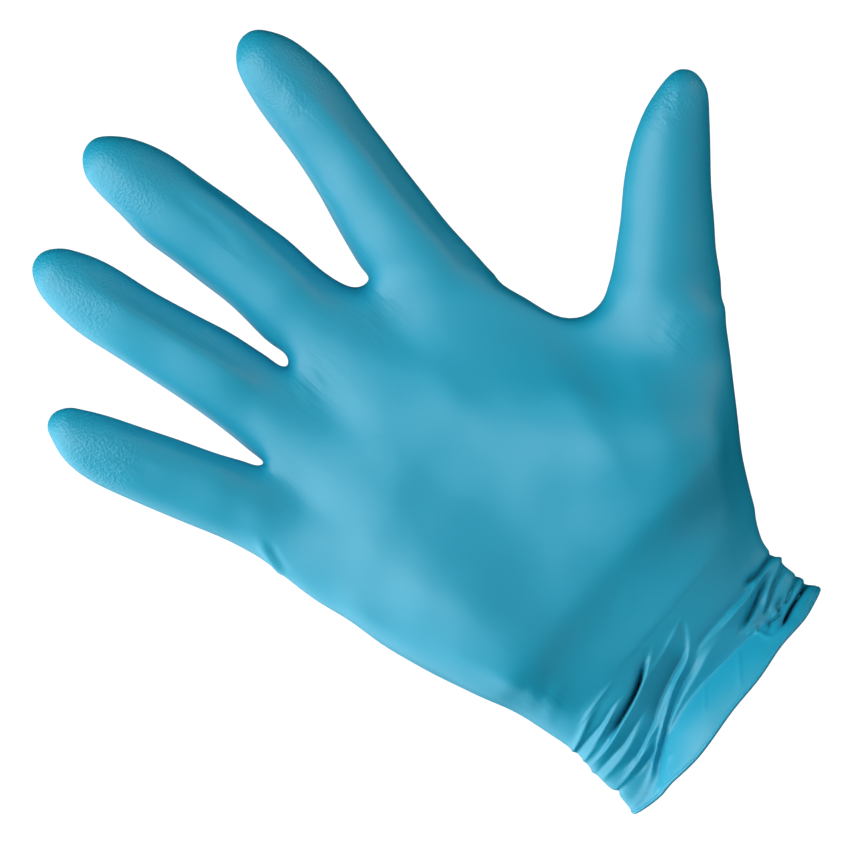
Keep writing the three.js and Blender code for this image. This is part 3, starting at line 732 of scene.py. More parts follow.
def on_chart(creases):
    """Creases of the cuff moved from their x to film length round the cuff."""
    quarter = np.interp(math.pi / 2, CHART_ANGLES, CHART_LENGTHS)
    moved = []
    for row in creases:
        x, z = row.path.T
        inside = np.arcsin(np.clip(np.abs(x) / CUFF_HALF_WIDTH, 0, 1))
        length = np.interp(inside, CHART_ANGLES, CHART_LENGTHS)
        past = np.abs(x) - CUFF_HALF_WIDTH
        length = np.where(past < 0, length, quarter + past)
        path = np.column_stack((np.sign(x) * length, z))
        moved.append(SimpleNamespace(**{**vars(row), "path": path}))
    return moved


# Folds of the bunched cuff, first those at the palm side's little finger edge, then the thumb
# edge, then the back. x is measured across the palm side up to the cuff's half width, and from
# there on along the film round the side to the back.
CUFF_FOLDS = on_chart([
    crease(0.9, 0.7, 0.8, (-40, 20.5), (-34.5, 22.4), (-28, 24.6), (-23, 25.2)),
    crease(0.5, 0.6, -0.5, (-39, 19.6), (-34.8, 21), (-28, 21.4), (-22, 22.4), (-16, 22.6)),
    crease(0.5, 0.5, 0.3, (-32, 25), (-24, 25.9), (-16, 26.5)),
    crease(0.9, 0.8, 0.9, (-40, 17), (-34, 18.6), (-28, 20), (-22, 21.7), (-17, 22.6)),
    crease(0.4, 0.4, -0.3, (-35, 18.6), (-30, 19.2), (-25, 20.6)),
    crease(0.7, 0.6, -2.8, (-32, 17.6), (-27, 18.5), (-19, 20), (-13, 21.6), (-9, 23.2),
           (-4, 24.6)),
    crease(0.6, 1.8, 1.2, (-38, 15.8), (-31, 16.4), (-24, 18), (-18, 19.4), (-12, 21), (-6, 23),
           (1, 25.6)),
    crease(0.8, 0.5, -0.7, (-38, 13), (-33, 14), (-28, 14.3), (-20, 15.8), (-14, 17)),
    crease(0.9, 0.9, 0.7, (-38, 11), (-33, 11.8), (-27, 12.9), (-20, 14.7)),
    crease(0.9, 0.5, -0.9, (-34, 9.6), (-27, 10.4), (-20, 12.4), (-14, 13.6)),
    crease(0.7, 0.8, 0.4, (-30, 9.2), (-24, 10.5), (-14, 12)),
    crease(0.8, 0.7, 0.7, (-37, 6.6), (-32, 7.8), (-26, 9), (-19, 9.8)),
    crease(0.6, 0.5, -0.7, (-34, 5.6), (-30, 6.4), (-25, 7), (-19, 8.6)),
    crease(4.6, 0.6, -1.7, (-22, 11.4), (-12, 15.4), (-4, 17.2), (3, 18.4), (8, 20.6)),
    crease(0.4, 0.7, 1.2, (-38, 0), (-32, 2.8), (-26, 5.9), (-20, 8.9), (-15, 11.4), (-10, 13.6),
           (-5, 15.2), (0, 16.2), (4, 17.8), (10, 22)),
    crease(0.7, 0.6, -1.1, (-32, 1), (-26, 4.3), (-20, 7.5), (-15, 10.3), (-10, 12.2), (-4, 13.8),
           (1, 14.6), (7, 16.4)),
    crease(1.4, 4, 1.3, (-24, 6), (-16, 9), (-8, 11.2), (0, 12.5), (8, 13.8), (16, 14.4)),
    crease(0.5, 1.4, 0.4, (-16, 20.4), (-6, 21.4), (4, 22.8), (12, 24.6)),
    crease(2, 0.6, -0.5, (4, 19), (7, 21), (10, 24)),
    crease(0.5, 0.5, 0.3, (-7, 3), (-3, 6.6), (1, 11)),
    crease(0.5, 0.5, 0.3, (4, 0.5), (9, 5), (14, 9.5)),
    crease(0.5, 0.5, 0.3, (-25, 1.2), (-22, 3.4), (-19, 3)),
    crease(0.5, 0.5, 0.3, (-22, 3.4), (-20.5, 5), (-19, 7)),
    crease(0.5, 0.6, -0.6, (-33, -1.4), (-31, -0.6), (-29, -1.2)),
    crease(1.1, 0.6, -0.9, (2, 15.6), (8, 16.9), (15, 17), (21, 16.6), (26, 15.9), (32, 15.9)),
    crease(0.5, 1.4, 0.9, (10, 15.6), (18, 15.2), (25, 15.1), (31, 15.2), (36, 15.1), (39, 15)),
    crease(0.6, 0.6, -2.3, (27, 17), (31, 17), (34, 16.2), (37, 16.6), (40, 17)),
    crease(0.7, 0.6, -2.3, (16, 11.4), (22, 12), (27, 12.5), (32, 13.2), (36, 14)),
    crease(0.5, 0.9, 1.2, (26, 9.6), (30, 10.8), (34, 12.8), (37, 14.8), (40, 16)),
    crease(0.6, 0.6, -1.7, (26, 9), (31, 10), (34, 11.4), (37, 12)),
    crease(0.5, 0.6, 0.6, (18, 10), (20, 9.2), (23, 8.6)),
    crease(0.5, 0.6, 0.7, (20, 9.4), (21, 7.4), (20.3, 5), (21, 3)),
    crease(0.6, 0.5, -2.1, (20, 5.6), (24, 6.2), (26.2, 7.1), (28.5, 6.3), (31, 6.6), (32.4, 8.1),
           (33.8, 6.9), (37, 8), (41, 8.4)),
    crease(0.5, 0.5, 0.6, (21, 4), (24, 5.1), (28, 5.6), (33, 5.8)),
    crease(0.8, 0.7, -3.4, (22, 3.4), (26, 3.5), (30, 4.1), (33, 4.6), (37, 4.8), (42, 5.4)),
    crease(1.1, 2.2, 0.7, (17, 2.6), (22, 2.4), (30, 2.5), (36, 2.6), (44, 3.2)),
    crease(1.2, 1, 1.2, (40, 6), (52, 7.5), (70, 9.5), (84, 10)),
    crease(1, 1, -1.2, (38, 11.5), (54, 13), (72, 14.5)),
    crease(1.1, 1, 1.1, (46, 15), (62, 17), (78, 17.5), (98, 17)),
    crease(1, 1, -0.9, (60, 12), (76, 12), (92, 13.5)),
    crease(1.2, 1, 1.0, (70, 4), (86, 5.5), (104, 6.5)),
    crease(1, 1, -1.2, (88, 10), (104, 10.5), (124, 10)),
    crease(1.1, 0.9, 1.1, (84, 22), (98, 21.5), (118, 19.5)),
    crease(1, 1, -1.1, (92, 19.5), (108, 18.6), (126, 17)),
    crease(1.1, 1, 1.0, (100, 14), (116, 14.5), (132, 14)),
    crease(1, 0.9, -1.0, (110, 6), (124, 6), (136, 7)),
])

# Deep grooves and hollows of the cuff that get painted shade: the least depth of one, and the
# depth at which the painted shade is full
SHADED_GROOVE_LEAST = 1.3 * MM
GROOVE_FULL_SHADE = 2.6 * MM
SHADED_GROOVES = [row for row in CUFF_FOLDS if row.height < -SHADED_GROOVE_LEAST]

# The wrist's hollow on the palm side, where the film turns in over the lowest folds, and the
# heel of the hand over it
WRIST_FOLDS = on_chart([
    crease(15, 6, -8.8, (-75, -10), (-50, -4), (-36, 1), (-20, 7), (-8, 10), (4, 10), (20, 8.5),
           (36, 8), (55, 10), (75, 12)),
    crease(14, 9, 2.6, (-60, 45), (0, 47), (60, 46)),
])

# Creases of the palm side, of the fingers and of the webs. The widest ones are the facets along
# the fingers, where loose film lies flat on the little finger's side.
FRONT_CREASES = [
    crease(0.6, 0.6, 0.8, (-51, 105), (-49.5, 111), (-47.5, 119)),
    crease(0.6, 0.6, -0.6, (-49.5, 106), (-48, 111), (-46, 117)),
    crease(0.5, 0.5, 0.8, (-9, 141), (-10.5, 136), (-12.5, 131)),
    crease(0.5, 0.5, 0.8, (-8, 140), (-7.5, 135), (-6, 130)),
    crease(0.5, 0.5, 0.6, (16.5, 140), (15, 135), (13, 130)),
    crease(0.5, 0.5, 0.6, (18, 139), (18.5, 134), (20.5, 129)),
    crease(8, 2.2, 2.3, (-17, 138), (-19, 148), (-22, 163), (-25, 180), (-28, 198)),
    crease(8, 2.4, 1.7, (37.5, 112), (38.5, 130), (41, 148), (44, 164), (46, 178), (46.5, 192)),
    crease(7, 2.4, 1.5, (-36, 122), (-40.5, 136), (-46, 151), (-51.5, 165), (-56, 176)),
    crease(0.6, 0.7, 0.6, (-23, 162.5), (-18, 163.8), (-13, 163.3)),
    crease(0.6, 0.6, -0.7, (-57, 160), (-54, 155), (-51.5, 148)),
    crease(8, 2.3, 1.8, (8.5, 138), (9, 150), (9.5, 166), (9.5, 182), (8.5, 200)),
    crease(1.0, 1.0, -0.5, (4.5, 166), (5, 180), (4.5, 196)),
    crease(1.0, 0.8, -0.4, (12, 178), (12, 186), (11, 193)),
    crease(0.7, 0.7, 0.6, (38, 184), (43, 186), (48, 186)),
    crease(0.6, 0.6, 0.5, (26, 162), (30, 163.3), (34, 163)),
    crease(0.5, 0.5, 0.35, (101, 109), (103, 113), (107, 116)),
    crease(0.5, 0.5, 0.35, (104, 108), (107, 112), (111, 114)),
    crease(0.6, 0.6, 0.4, (55, 67), (60, 71), (67, 73)),
    crease(0.6, 0.6, 0.4, (56, 71), (61, 75), (68, 77)),
    crease(1.2, 1.0, 0.35, (-36, 30), (-28, 35), (-19, 37)),
    crease(1.2, 1.0, 0.35, (-35, 36), (-28, 41), (-20, 44)),
    crease(0.4, 0.4, 0.3, (-6.5, 29), (-4, 26.5), (-2, 25)),
    crease(0.5, 0.5, 0.3, (-1, 36), (3, 36.4), (6, 35.6)),
]

# Fillings of the outline in the fork between the index finger and the thumb
EDGE_FILLS = [crease(3, 3, 1.0, (38, 125), (41.5, 119), (46, 114), (51, 111))]

# Creases of the back, over the knuckles
BACK_CREASES = [
    crease(0.8, 0.7, 0.35, (-44, 120), (-39, 121.5), (-34, 121)),
    crease(0.8, 0.7, 0.35, (-27, 130), (-21, 131.5), (-15, 130.5)),
    crease(0.8, 0.7, 0.35, (-3, 131), (4, 132.5), (11, 131.5)),
    crease(0.8, 0.7, 0.35, (22, 125), (29, 126), (36, 124)),
    crease(0.8, 0.7, 0.3, (-24, 168), (-19, 169), (-14, 168)),
    crease(0.8, 0.7, 0.3, (-1, 173), (4, 174), (10, 173)),
    crease(0.8, 0.7, 0.3, (30, 160), (36, 160), (42, 158)),
]

# Spots of the palm side where the film is gathered in fine wrinkles, in millimetres: the three
# webs, the fingers' joints and the ball of the thumb
WRINKLES = Table(
    "x z reach",
    (-32, 126, 8), (-8.5, 137, 9), (18.5, 135, 9), (-19, 163, 7), (32, 160, 8), (42, 182, 6),
    (-54, 156, 5), (99, 112, 8), (63, 71, 9), (40, 36, 9), (-26, 36, 10), (6, 170, 6),
)

# Slow unevenness of the film: wave lengths and height in millimetres, start in degrees
SWELLS = Table(
    "x y z start height",
    (31, 47, 43, 10, 0.06), (-23, 39, 37, 70, 0.05), (41, -29, 19, 140, 0.04),
    (-17, 31, -53, 200, 0.04), (13, 27, 29, 260, 0.03), (-61, 23, 17, 320, 0.04),
)

# How far the film has to face the front or the back, for a crease of that side to begin and to
# be whole, so that the sides of the hand have none
WRIST_FACING = (0.1, 0.9)
CREASE_FACING = (0.05, 0.4)
WRINKLE_FACING = (0, 0.3)

# Where the grain of a fingertip begins: before and after its start along the finger, and the
# shares of the finger's width from its middle between which it ends towards the next finger
GRAIN_FADE = (0.04, 0.08)
GRAIN_SIDE = (0.62, 0.7)


def chart_places(points):
    """Film length round the cuff and height of each point."""
    x, y, z = points.T
    angle = np.arctan2(x / CUFF_HALF_WIDTH, -y / CUFF_HALF_DEPTH)
    return np.column_stack((
        np.sign(angle) * np.interp(np.abs(angle), CHART_ANGLES, CHART_LENGTHS), z
    ))


def cuff_heights(creases, places):
    """Height of creases on the chart, which meets itself at the middle of the back."""
    heights = np.zeros(len(places))
    low = np.flatnonzero(places[:, 1] < FOLD_FADE[1])
    girth = 2 * CHART_LENGTHS[-1]
    for turn in (-girth, 0, girth):
        heights[low] += crease_heights(creases, places[low] + (turn, 0))
    return heights * (1 - smooth(places[:, 1], *FOLD_FADE))


def groove_shade_shares(points):
    """Share of painted shade: 1 in the bottoms of the cuff's deep grooves and 0 on open film."""
    depths = -cuff_heights(SHADED_GROOVES, chart_places(points))
    return np.clip(depths / GROOVE_FULL_SHADE, 0, 1) ** 2


def relief(points, normals):
    """Height of all folds and creases over the smooth film."""
    x, y, z = points.T
    places = chart_places(points)
    cuff = cuff_heights(CUFF_FOLDS, places)
    wrist = smooth(-normals[:, 1], *WRIST_FACING) * crease_heights(WRIST_FOLDS, places)
    flat = np.column_stack((x, z))
    edge = crease_heights(EDGE_FILLS, flat)
    front = smooth(-normals[:, 1], *CREASE_FACING) * crease_heights(FRONT_CREASES, flat)
    back = smooth(normals[:, 1], *CREASE_FACING) * crease_heights(BACK_CREASES, flat)
    swell = sum(
        row.height * MM * np.sin(
            2 * math.pi * (x / row.x + y / row.y + z / row.z) / MM + math.radians(row.start)
        )
        for row in SWELLS
    )
    return cuff + wrist + edge + front + back + swell


# Meshes

# Subdivisions of the skins, and how far round a point of the inner skin the folds are searched
# for the lowest place, which the inner skin has to stay under
OUTER_LEVELS = 2
INNER_LEVELS = 1
INNER_SEARCH = 0.7 * MM


def rounded_mesh(cage, levels):
    """The cage after so many subdivisions, on its limit surface, the cage's points first."""
    mesh = bpy.data.meshes.new("cage")
    mesh.from_pydata([tuple(point) for point in cage.points], [], cage.faces)
    obj = bpy.data.objects.new("cage", mesh)
    bpy.context.collection.objects.link(obj)
    modifier = obj.modifiers.new("rounding", "SUBSURF")
    modifier.levels = modifier.render_levels = levels
    modifier.use_limit_surface = True
    graph = bpy.context.evaluated_depsgraph_get()
    result = bpy.data.meshes.new_from_object(obj.evaluated_get(graph))
    bpy.data.objects.remove(obj)
    bpy.data.meshes.remove(mesh)
    return result


def mesh_arrays(mesh):
    """Points and vertex normals of a mesh, as arrays."""
    points = np.empty(3 * len(mesh.vertices))
    mesh.vertices.foreach_get("co", points)
    normals = np.array([tuple(item.vector) for item in mesh.vertex_normals])
    return points.reshape(-1, 3), normals


def rim_loop(mesh, start, toward):
    """Points of the open rim in order, from one point towards another."""
    uses = {}
    for polygon in mesh.polygons:
        for key in polygon.edge_keys:
            uses[key] = uses.get(key, 0) + 1
    beside = {}
    for (a, b), used in uses.items():
        if used == 1:
            beside.setdefault(a, []).append(b)
            beside.setdefault(b, []).append(a)
    points = mesh.vertices
    goal = points[toward].co
    loop = [start, min(beside[start], key=lambda index: (points[index].co - goal).length)]
    while True:
        after = [index for index in beside[loop[-1]] if index != loop[-2]][0]
        if after == start:
            return loop
        loop.append(after)


def film_mesh(form, wall):
    """Closed film: folded outer skin, plainer inner skin and the edge between them."""
    hem = form.hem_ring
    outer = rounded_mesh(form.cage, OUTER_LEVELS)
    points, normals = mesh_arrays(outer)
    faces = [tuple(polygon.vertices) for polygon in outer.polygons]
    outer_rim = rim_loop(outer, hem[0], hem[1])
    places = points + normals * relief(points, normals)[:, None]

    inner = rounded_mesh(form.cage, INNER_LEVELS)
    inner_points, inner_normals = mesh_arrays(inner)
    inner_rim = rim_loop(inner, hem[0], hem[1])
    reaches = [np.array((dx, 0, dz)) * INNER_SEARCH for dx in (-1, 0, 1) for dz in (-1, 0, 1)]
    lowest = np.min([relief(inner_points + reach, inner_normals) for reach in reaches], axis=0)
    inside = inner_points + inner_normals * (np.minimum(lowest, 0) - wall)[:, None]
    level = inner_normals[inner_rim] * (1, 1, 0)
    level /= np.linalg.norm(level, axis=1)[:, None]
    inside[inner_rim] = places[outer_rim[::2]] - level * wall

    count = len(points)
    faces += [tuple(count + index for index in reversed(polygon.vertices))
              for polygon in inner.polygons]
    faces += edge_faces(outer_rim, [count + index for index in inner_rim])
    mesh = bpy.data.meshes.new("glove_film")
    mesh.from_pydata(np.vstack((places, inside)).tolist(), [], faces)
    mesh.shade_smooth()
    rim_order = np.zeros(count, int)
    rim_order[outer_rim] = np.arange(1, len(outer_rim) + 1)
    store(mesh, "hem_order", "INT", rim_order)
    store(mesh, "grain", "FLOAT", grain_shares(form, points))
    # The groove attribute carries the painted shade of the cuff's deep grooves.
    store(mesh, "groove", "FLOAT", groove_shade_shares(points))
    store(mesh, "wrinkle", "FLOAT", wrinkle_shares(points, normals))
    bpy.data.meshes.remove(outer)
    bpy.data.meshes.remove(inner)
    return mesh


def edge_faces(outer_rim, inner_rim):
    """Faces that close the film at the hem. The outer rim has two points for each inner one."""
    faces = []
    for order, near in enumerate(inner_rim):
        after = inner_rim[(order + 1) % len(inner_rim)]
        first, middle = outer_rim[2 * order], outer_rim[2 * order + 1]
        last = outer_rim[(2 * order + 2) % len(outer_rim)]
        faces += [(first, near, middle), (middle, near, after), (middle, after, last)]
    return faces


def store(mesh, name, kind, outer_values):
    """Keeps a value for each point of the outer skin as an attribute, 0 on the inner skin."""
    values = np.zeros(len(mesh.vertices), np.int32 if kind == "INT" else np.float32)
    values[:len(outer_values)] = outer_values
    mesh.attributes.new(name, kind, "POINT").data.foreach_set("value", values)


def wrinkle_shares(points, normals):
    """1 in the middle of the gathered spots and 0 on plain film."""
    x, _, z = points.T / MM
    near = sum(np.exp(-((x - row.x) ** 2 + (z - row.z) ** 2) / row.reach ** 2) for row in WRINKLES)
    return np.clip(near, 0, 1) * smooth(-normals[:, 1], *WRINKLE_FACING)


def grain_shares(form, points):
    """1 on the textured fingertips and 0 on the rest of the film."""
    before, after = GRAIN_FADE
    share = np.zeros(len(points))
    for finger in FINGERS:
        lean = math.radians(finger.lean)
        start, end = form.mark(finger.start), form.mark(finger.end)
        dx = points[:, 0] - (start[0] + end[0]) / 2
        dz = points[:, 2] - (start[1] + end[1]) / 2
        along = (dx * math.sin(lean) + dz * math.cos(lean)) / (finger.length * MM)
        across = np.abs(dx * math.cos(lean) - dz * math.sin(lean)) / (finger.width * MM)
        near = 1 - smooth(across, *GRAIN_SIDE)
        begun = smooth(along, finger.grain - before, finger.grain + after)
        share = np.maximum(share, near * begun)
    return share


# Materials

def linear(text):
    """Linear colour of an sRGB hex code."""
    channels = [int(text[index:index + 2], 16) / 255 for index in (0, 2, 4)]
    return tuple(
        value / 12.92 if value <= 0.04045 else ((value + 0.055) / 1.055) ** 2.4
        for value in channels
    )


def add_node(tree, kind, links=(), values=(), **settings):
    """Adds a node: settings are its properties, values its sockets' constants by name or place,
    and links pairs of a socket's name or place and the output that feeds it."""
    node = tree.nodes.new(kind)
    for name, value in settings.items():
        setattr(node, name, value)
    for name, value in dict(values).items():
        node.inputs[name].default_value = value
    for name, output in dict(links).items():
        tree.links.new(output, node.inputs[name])
    return node


# Sizes of the film's patterns: pebbles of the textured fingertips, haze of the satin finish,
# fine wrinkles across, through and along the hand, and slow waves of the loose film
PEBBLE_SIZE = 0.62 * MM
HAZE_SIZE = 1.6 * MM
WRINKLE_SIZE = (1.9 * MM, 4 * MM, 11 * MM)
WAVE_SIZE = 12 * MM

# Strength of the film's sheen on open film and in the deep grooves, where the weaker sheen is
# painted shade, and the dark colour painted into the grooves as shade
OPEN_SHEEN = 0.62
GROOVE_SHADE_SHEEN = 0.1
GROOVE_SHADE_COLOUR = "0A2233"


def nitrile_film(colour):
    """Nitrile film, dipped, satin: a saturated body colour under a broad soft sheen. In the deep
    grooves of the bunched cuff the colour darkens and the sheen weakens: both are painted shade,
    where the doubled film lies out of the light."""
    material = bpy.data.materials.new("nitrile_film")
    material.use_nodes = True
    tree = material.node_tree
    tree.nodes.clear()
    places = add_node(tree, "ShaderNodeTexCoord").outputs["Object"]
    # The groove attribute is the share of painted shade in the cuff's deep grooves.
    grain, groove, wrinkle = (
        add_node(
            tree, "ShaderNodeAttribute", attribute_type="GEOMETRY", attribute_name=name
        ).outputs["Fac"]
        for name in ("grain", "groove", "wrinkle")
    )

    haze = add_node(
        tree, "ShaderNodeTexNoise", {"Vector": places}, {"Scale": 1 / HAZE_SIZE, "Detail": 3},
    ).outputs["Fac"]
    drawn = add_node(
        tree, "ShaderNodeVectorMath", {0: places}, {1: tuple(1 / size for size in WRINKLE_SIZE)},
        operation="MULTIPLY",
    ).outputs[0]
    streaks = add_node(
        tree, "ShaderNodeTexNoise", {"Vector": drawn},
        {"Scale": 1, "Detail": 2, "Roughness": 0.4, "Distortion": 0.4},
    ).outputs["Fac"]
    waves = add_node(
        tree, "ShaderNodeTexNoise", {"Vector": places},
        {"Scale": 1 / WAVE_SIZE, "Detail": 3, "Roughness": 0.5, "Distortion": 0.5},
    ).outputs["Fac"]
    pebbles = add_node(
        tree, "ShaderNodeTexVoronoi", {"Vector": places}, {"Scale": 1 / PEBBLE_SIZE},
        feature="SMOOTH_F1",
    ).outputs["Distance"]
    gathers, tip_relief = (
        add_node(tree, "ShaderNodeMath", {0: pattern, 1: share}, operation="MULTIPLY").outputs[0]
        for pattern, share in ((streaks, wrinkle), (pebbles, grain))
    )

    # Each relief lies on the one before it, with its strength and its height
    bump = {}
    for relief_height, strength, distance in (
        (haze, 0.06, 0.3 * MM), (gathers, 0.35, 0.7 * MM),
        (waves, 0.2, 0.6 * MM), (tip_relief, 0.55, 0.3 * MM),
    ):
        laid = add_node(
            tree, "ShaderNodeBump", {"Height": relief_height, **bump},
            {"Strength": strength, "Distance": distance},
        )
        bump = {"Normal": laid.outputs["Normal"]}

    # Painted shade: the body colour turns dark and the sheen weakens in the cuff's deep grooves.
    body = add_node(
        tree, "ShaderNodeMix", {0: groove}, {6: (*colour, 1), 7: (*linear(GROOVE_SHADE_COLOUR), 1)},
        data_type="RGBA",
    ).outputs[2]
    sheen = add_node(
        tree, "ShaderNodeMapRange", {"Value": groove},
        {"To Min": OPEN_SHEEN, "To Max": GROOVE_SHADE_SHEEN},
    ).outputs["Result"]
    shader = add_node(
        tree, "ShaderNodeBsdfPrincipled",
        {"Base Color": body, "Specular IOR Level": sheen, **bump},
        {"Roughness": 0.52, "IOR": 1.6},
    ).outputs["BSDF"]
    add_node(tree, "ShaderNodeOutputMaterial", {"Surface": shader})
    return material


def white_studio(name, strength):
    """Studio white that the camera sees as plain white."""
    material = bpy.data.materials.new(name)
    material.use_nodes = True
    tree = material.node_tree
    tree.nodes.clear()
    glow = add_node(
        tree, "ShaderNodeEmission", values={"Color": (1, 1, 1, 1), "Strength": strength}
    ).outputs[0]
    add_node(tree, "ShaderNodeOutputMaterial", {"Surface": glow})
    return material


# Sizes and colours

def length(name, default, description):
    """A size that the panel shows."""
    return bpy.props.FloatProperty(
        name=name, description=description, default=default, subtype="DISTANCE", unit="LENGTH",
        min=0,
    )


class ExamGloveSizes(bpy.types.PropertyGroup):
    """Sizes of the glove"""
    film_wall: length("Film wall", 0.4 * MM, "Thickness of the film")
    bead_diameter: length("Bead diameter", 1.1 * MM, "Diameter of the rolled bead at the hem")
    cuff_length: length("Cuff length", 28 * MM, "Height of the cuff from hem to wrist")
    hem_width: length("Hem width", 73 * MM, "Width of the cuff at the hem")
    hem_depth: length("Hem depth", 41 * MM, "Depth of the cuff at the hem")
    wrist_width: length("Wrist width", 77 * MM, "Width of the tight section over the cuff")
    wrist_depth: length("Wrist depth", 35 * MM, "Depth of the tight section over the cuff")
    wrist_shift: length("Wrist shift", 3.4 * MM, "Offset of the wrist to the thumb side")
    palm_width: length("Palm width", 94 * MM, "Width that the marks of the outline share")
    palm_height: length("Palm height", 114 * MM, "Height from the wrist to the finger webs")
    palm_thickness: length("Palm thickness", 29 * MM, "Depth of the palm")


class ExamGloveColours(bpy.types.PropertyGroup):
    """Colours of the glove"""
    film: bpy.props.FloatVectorProperty(
        name="Film", description="Body colour of the film", subtype="COLOR", size=3,
        default=linear("0CA6C8"), min=0, max=1,
    )


# Operators

def add_piece(name, mesh, material):
    """Links a mesh as a piece that stands for the CAD glove."""
    obj = bpy.data.objects.new(name, mesh)
    bpy.context.scene.collection.objects.link(obj)
    mesh.materials.clear()
    mesh.materials.append(material)
    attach(obj, "root")
    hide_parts("glove")
    return obj


class EXAMGLOVE_OT_film(bpy.types.Operator):
    """Build the dipped film: cuff, palm, fingers and thumb in one skin"""
    bl_idname = "exam_glove.film"
    bl_label = "Glove Film"

    def execute(self, context):
        sizes = context.scene.exam_glove_sizes
        form = GloveForm(sizes)
        mesh = film_mesh(form, sizes.film_wall)
        add_piece("glove_film", mesh, nitrile_film(context.scene.exam_glove_colours.film))
        return {"FINISHED"}


# Corners of the bead's round section
BEAD_SIDES = 16


def hem_path(film, wall, radius):
    """Loop of edges along the middle of the film's lower edge, half a radius under it."""
    orders = np.zeros(len(film.vertices), np.int32)
    film.attributes["hem_order"].data.foreach_get("value", orders)
    rim = np.flatnonzero(orders)
    rim = rim[np.argsort(orders[rim])]
    points = np.array([tuple(film.vertices[index].co) for index in rim])
    runs = np.roll(points, -1, axis=0) - np.roll(points, 1, axis=0)
    outward = np.column_stack((runs[:, 1], -runs[:, 0], np.zeros(len(runs))))
    outward /= np.linalg.norm(outward, axis=1)[:, None]
    points = points - outward * wall / 2
    points[:, 2] -= radius / 2
    mesh = bpy.data.meshes.new("hem_path")
    count = len(points)
    edges = [(order, (order + 1) % count) for order in range(count)]
    mesh.from_pydata(points.tolist(), edges, [])
    return mesh


def bead_nodes():
    """Node group that sweeps a round bead along a closed path."""
    group = bpy.data.node_groups.new("rolled_bead", "GeometryNodeTree")
    for name, side, kind in (
        ("Path", "INPUT", "Geometry"), ("Radius", "INPUT", "Float"), ("Sides", "INPUT", "Int"),
        ("Material", "INPUT", "Material"), ("Bead", "OUTPUT", "Geometry"),
    ):
        group.interface.new_socket(name, in_out=side, socket_type=f"NodeSocket{kind}")
    inputs = add_node(group, "NodeGroupInput").outputs
    curve = add_node(group, "GeometryNodeMeshToCurve", {"Mesh": inputs["Path"]}).outputs[0]
    circle = add_node(
        group, "GeometryNodeCurvePrimitiveCircle",
        {"Resolution": inputs["Sides"], "Radius": inputs["Radius"]},
    ).outputs[0]
    bead = add_node(
        group, "GeometryNodeCurveToMesh", {"Curve": curve, "Profile Curve": circle}
    ).outputs[0]
    bead = add_node(group, "GeometryNodeSetShadeSmooth", {"Geometry": bead}).outputs[0]
    bead = add_node(group, "GeometryNodeRealizeInstances", {"Geometry": bead}).outputs[0]
    bead = add_node(
        group, "GeometryNodeSetMaterial", {"Geometry": bead, "Material": inputs["Material"]}
    ).outputs[0]
    add_node(group, "NodeGroupOutput", {"Bead": bead})
    return group


class EXAMGLOVE_OT_bead(bpy.types.Operator):
    """Build the rolled bead along the hem"""
    bl_idname = "exam_glove.bead"
    bl_label = "Rolled Bead"

    def execute(self, context):
        sizes = context.scene.exam_glove_sizes
        film = bpy.data.objects["glove_film"].data
        path = hem_path(film, sizes.film_wall, sizes.bead_diameter / 2)
        base = bpy.data.objects.new("hem_path", path)
        context.scene.collection.objects.link(base)
        modifier = base.modifiers.new("bead", "NODES")
        modifier.node_group = bead_nodes()
        values = {
            "Radius": sizes.bead_diameter / 2, "Sides": BEAD_SIDES, "Material": film.materials[0],
        }
        for item in modifier.node_group.interface.items_tree:
            if item.name in values:
                modifier[item.identifier] = values[item.name]
        graph = context.evaluated_depsgraph_get()
        mesh = bpy.data.meshes.new_from_object(base.evaluated_get(graph))
        bpy.data.objects.remove(base)
        if len(mesh.polygons) == 0:
            raise RuntimeError("the bead has no faces")
        add_piece("rolled_bead", mesh, film.materials[0])
        return {"FINISHED"}


# The picture is taken from the palm side with the hand leaning to the upper left.
PICTURE_WIDTH = 217.6 * MM
PICTURE_MIDDLE = Vector((2.6 * MM, -4 * MM, 105.4 * MM))
PICTURE_ROLL = math.radians(48.77)
CAMERA_DISTANCE = 1.6
CAMERA_REACH = 20
SENSOR_WIDTH = 36

PICTURE_RIGHT = Vector((math.cos(PICTURE_ROLL), 0, -math.sin(PICTURE_ROLL)))
PICTURE_UP = Vector((math.sin(PICTURE_ROLL), 0, math.cos(PICTURE_ROLL)))
TO_VIEWER = Vector((0, -1, 0))

LIGHT_NAMES = ("key_light", "side_light", "right_fill", "low_fill", "front_fill", "back_light")

# Lights: direction to the light as shares of right, up and to the viewer in the picture, its
# distance and size in metres, power in watts, and whether the film mirrors it. The fills and the
# back light don't show as sheen, so that the shaded side keeps its full colour.
LIGHTS = Table(
    "right up viewer distance size power sheen",
    (-0.78, -0.08, 0.62, 1.3, 1.6, 21, 1),
    (-0.7, -0.6, -0.28, 1.3, 2.0, 24, 1),
    (0.66, 0.6, 0.45, 1.3, 1.0, 8, 0),
    (0.8, -0.44, 0.4, 1.3, 1.0, 3, 0),
    (0.15, 0.2, 1, 1.6, 1.0, 1.5, 0),
    (0.1, 0.1, -1, 2.2, 0.8, 26, 0),
)


# Half width of the floor, its distance under the glove, and the studio's white, which is a
# little over 1 so that the camera sees plain white
FLOOR_HALF = 3
FLOOR_GAP = 1 * MM
STUDIO_GLOW = 1.1


def facing(right, up, back, place):
    """Matrix of an object at a place with these axes."""
    return Matrix.Translation(place) @ Matrix((right, up, back)).transposed().to_4x4()


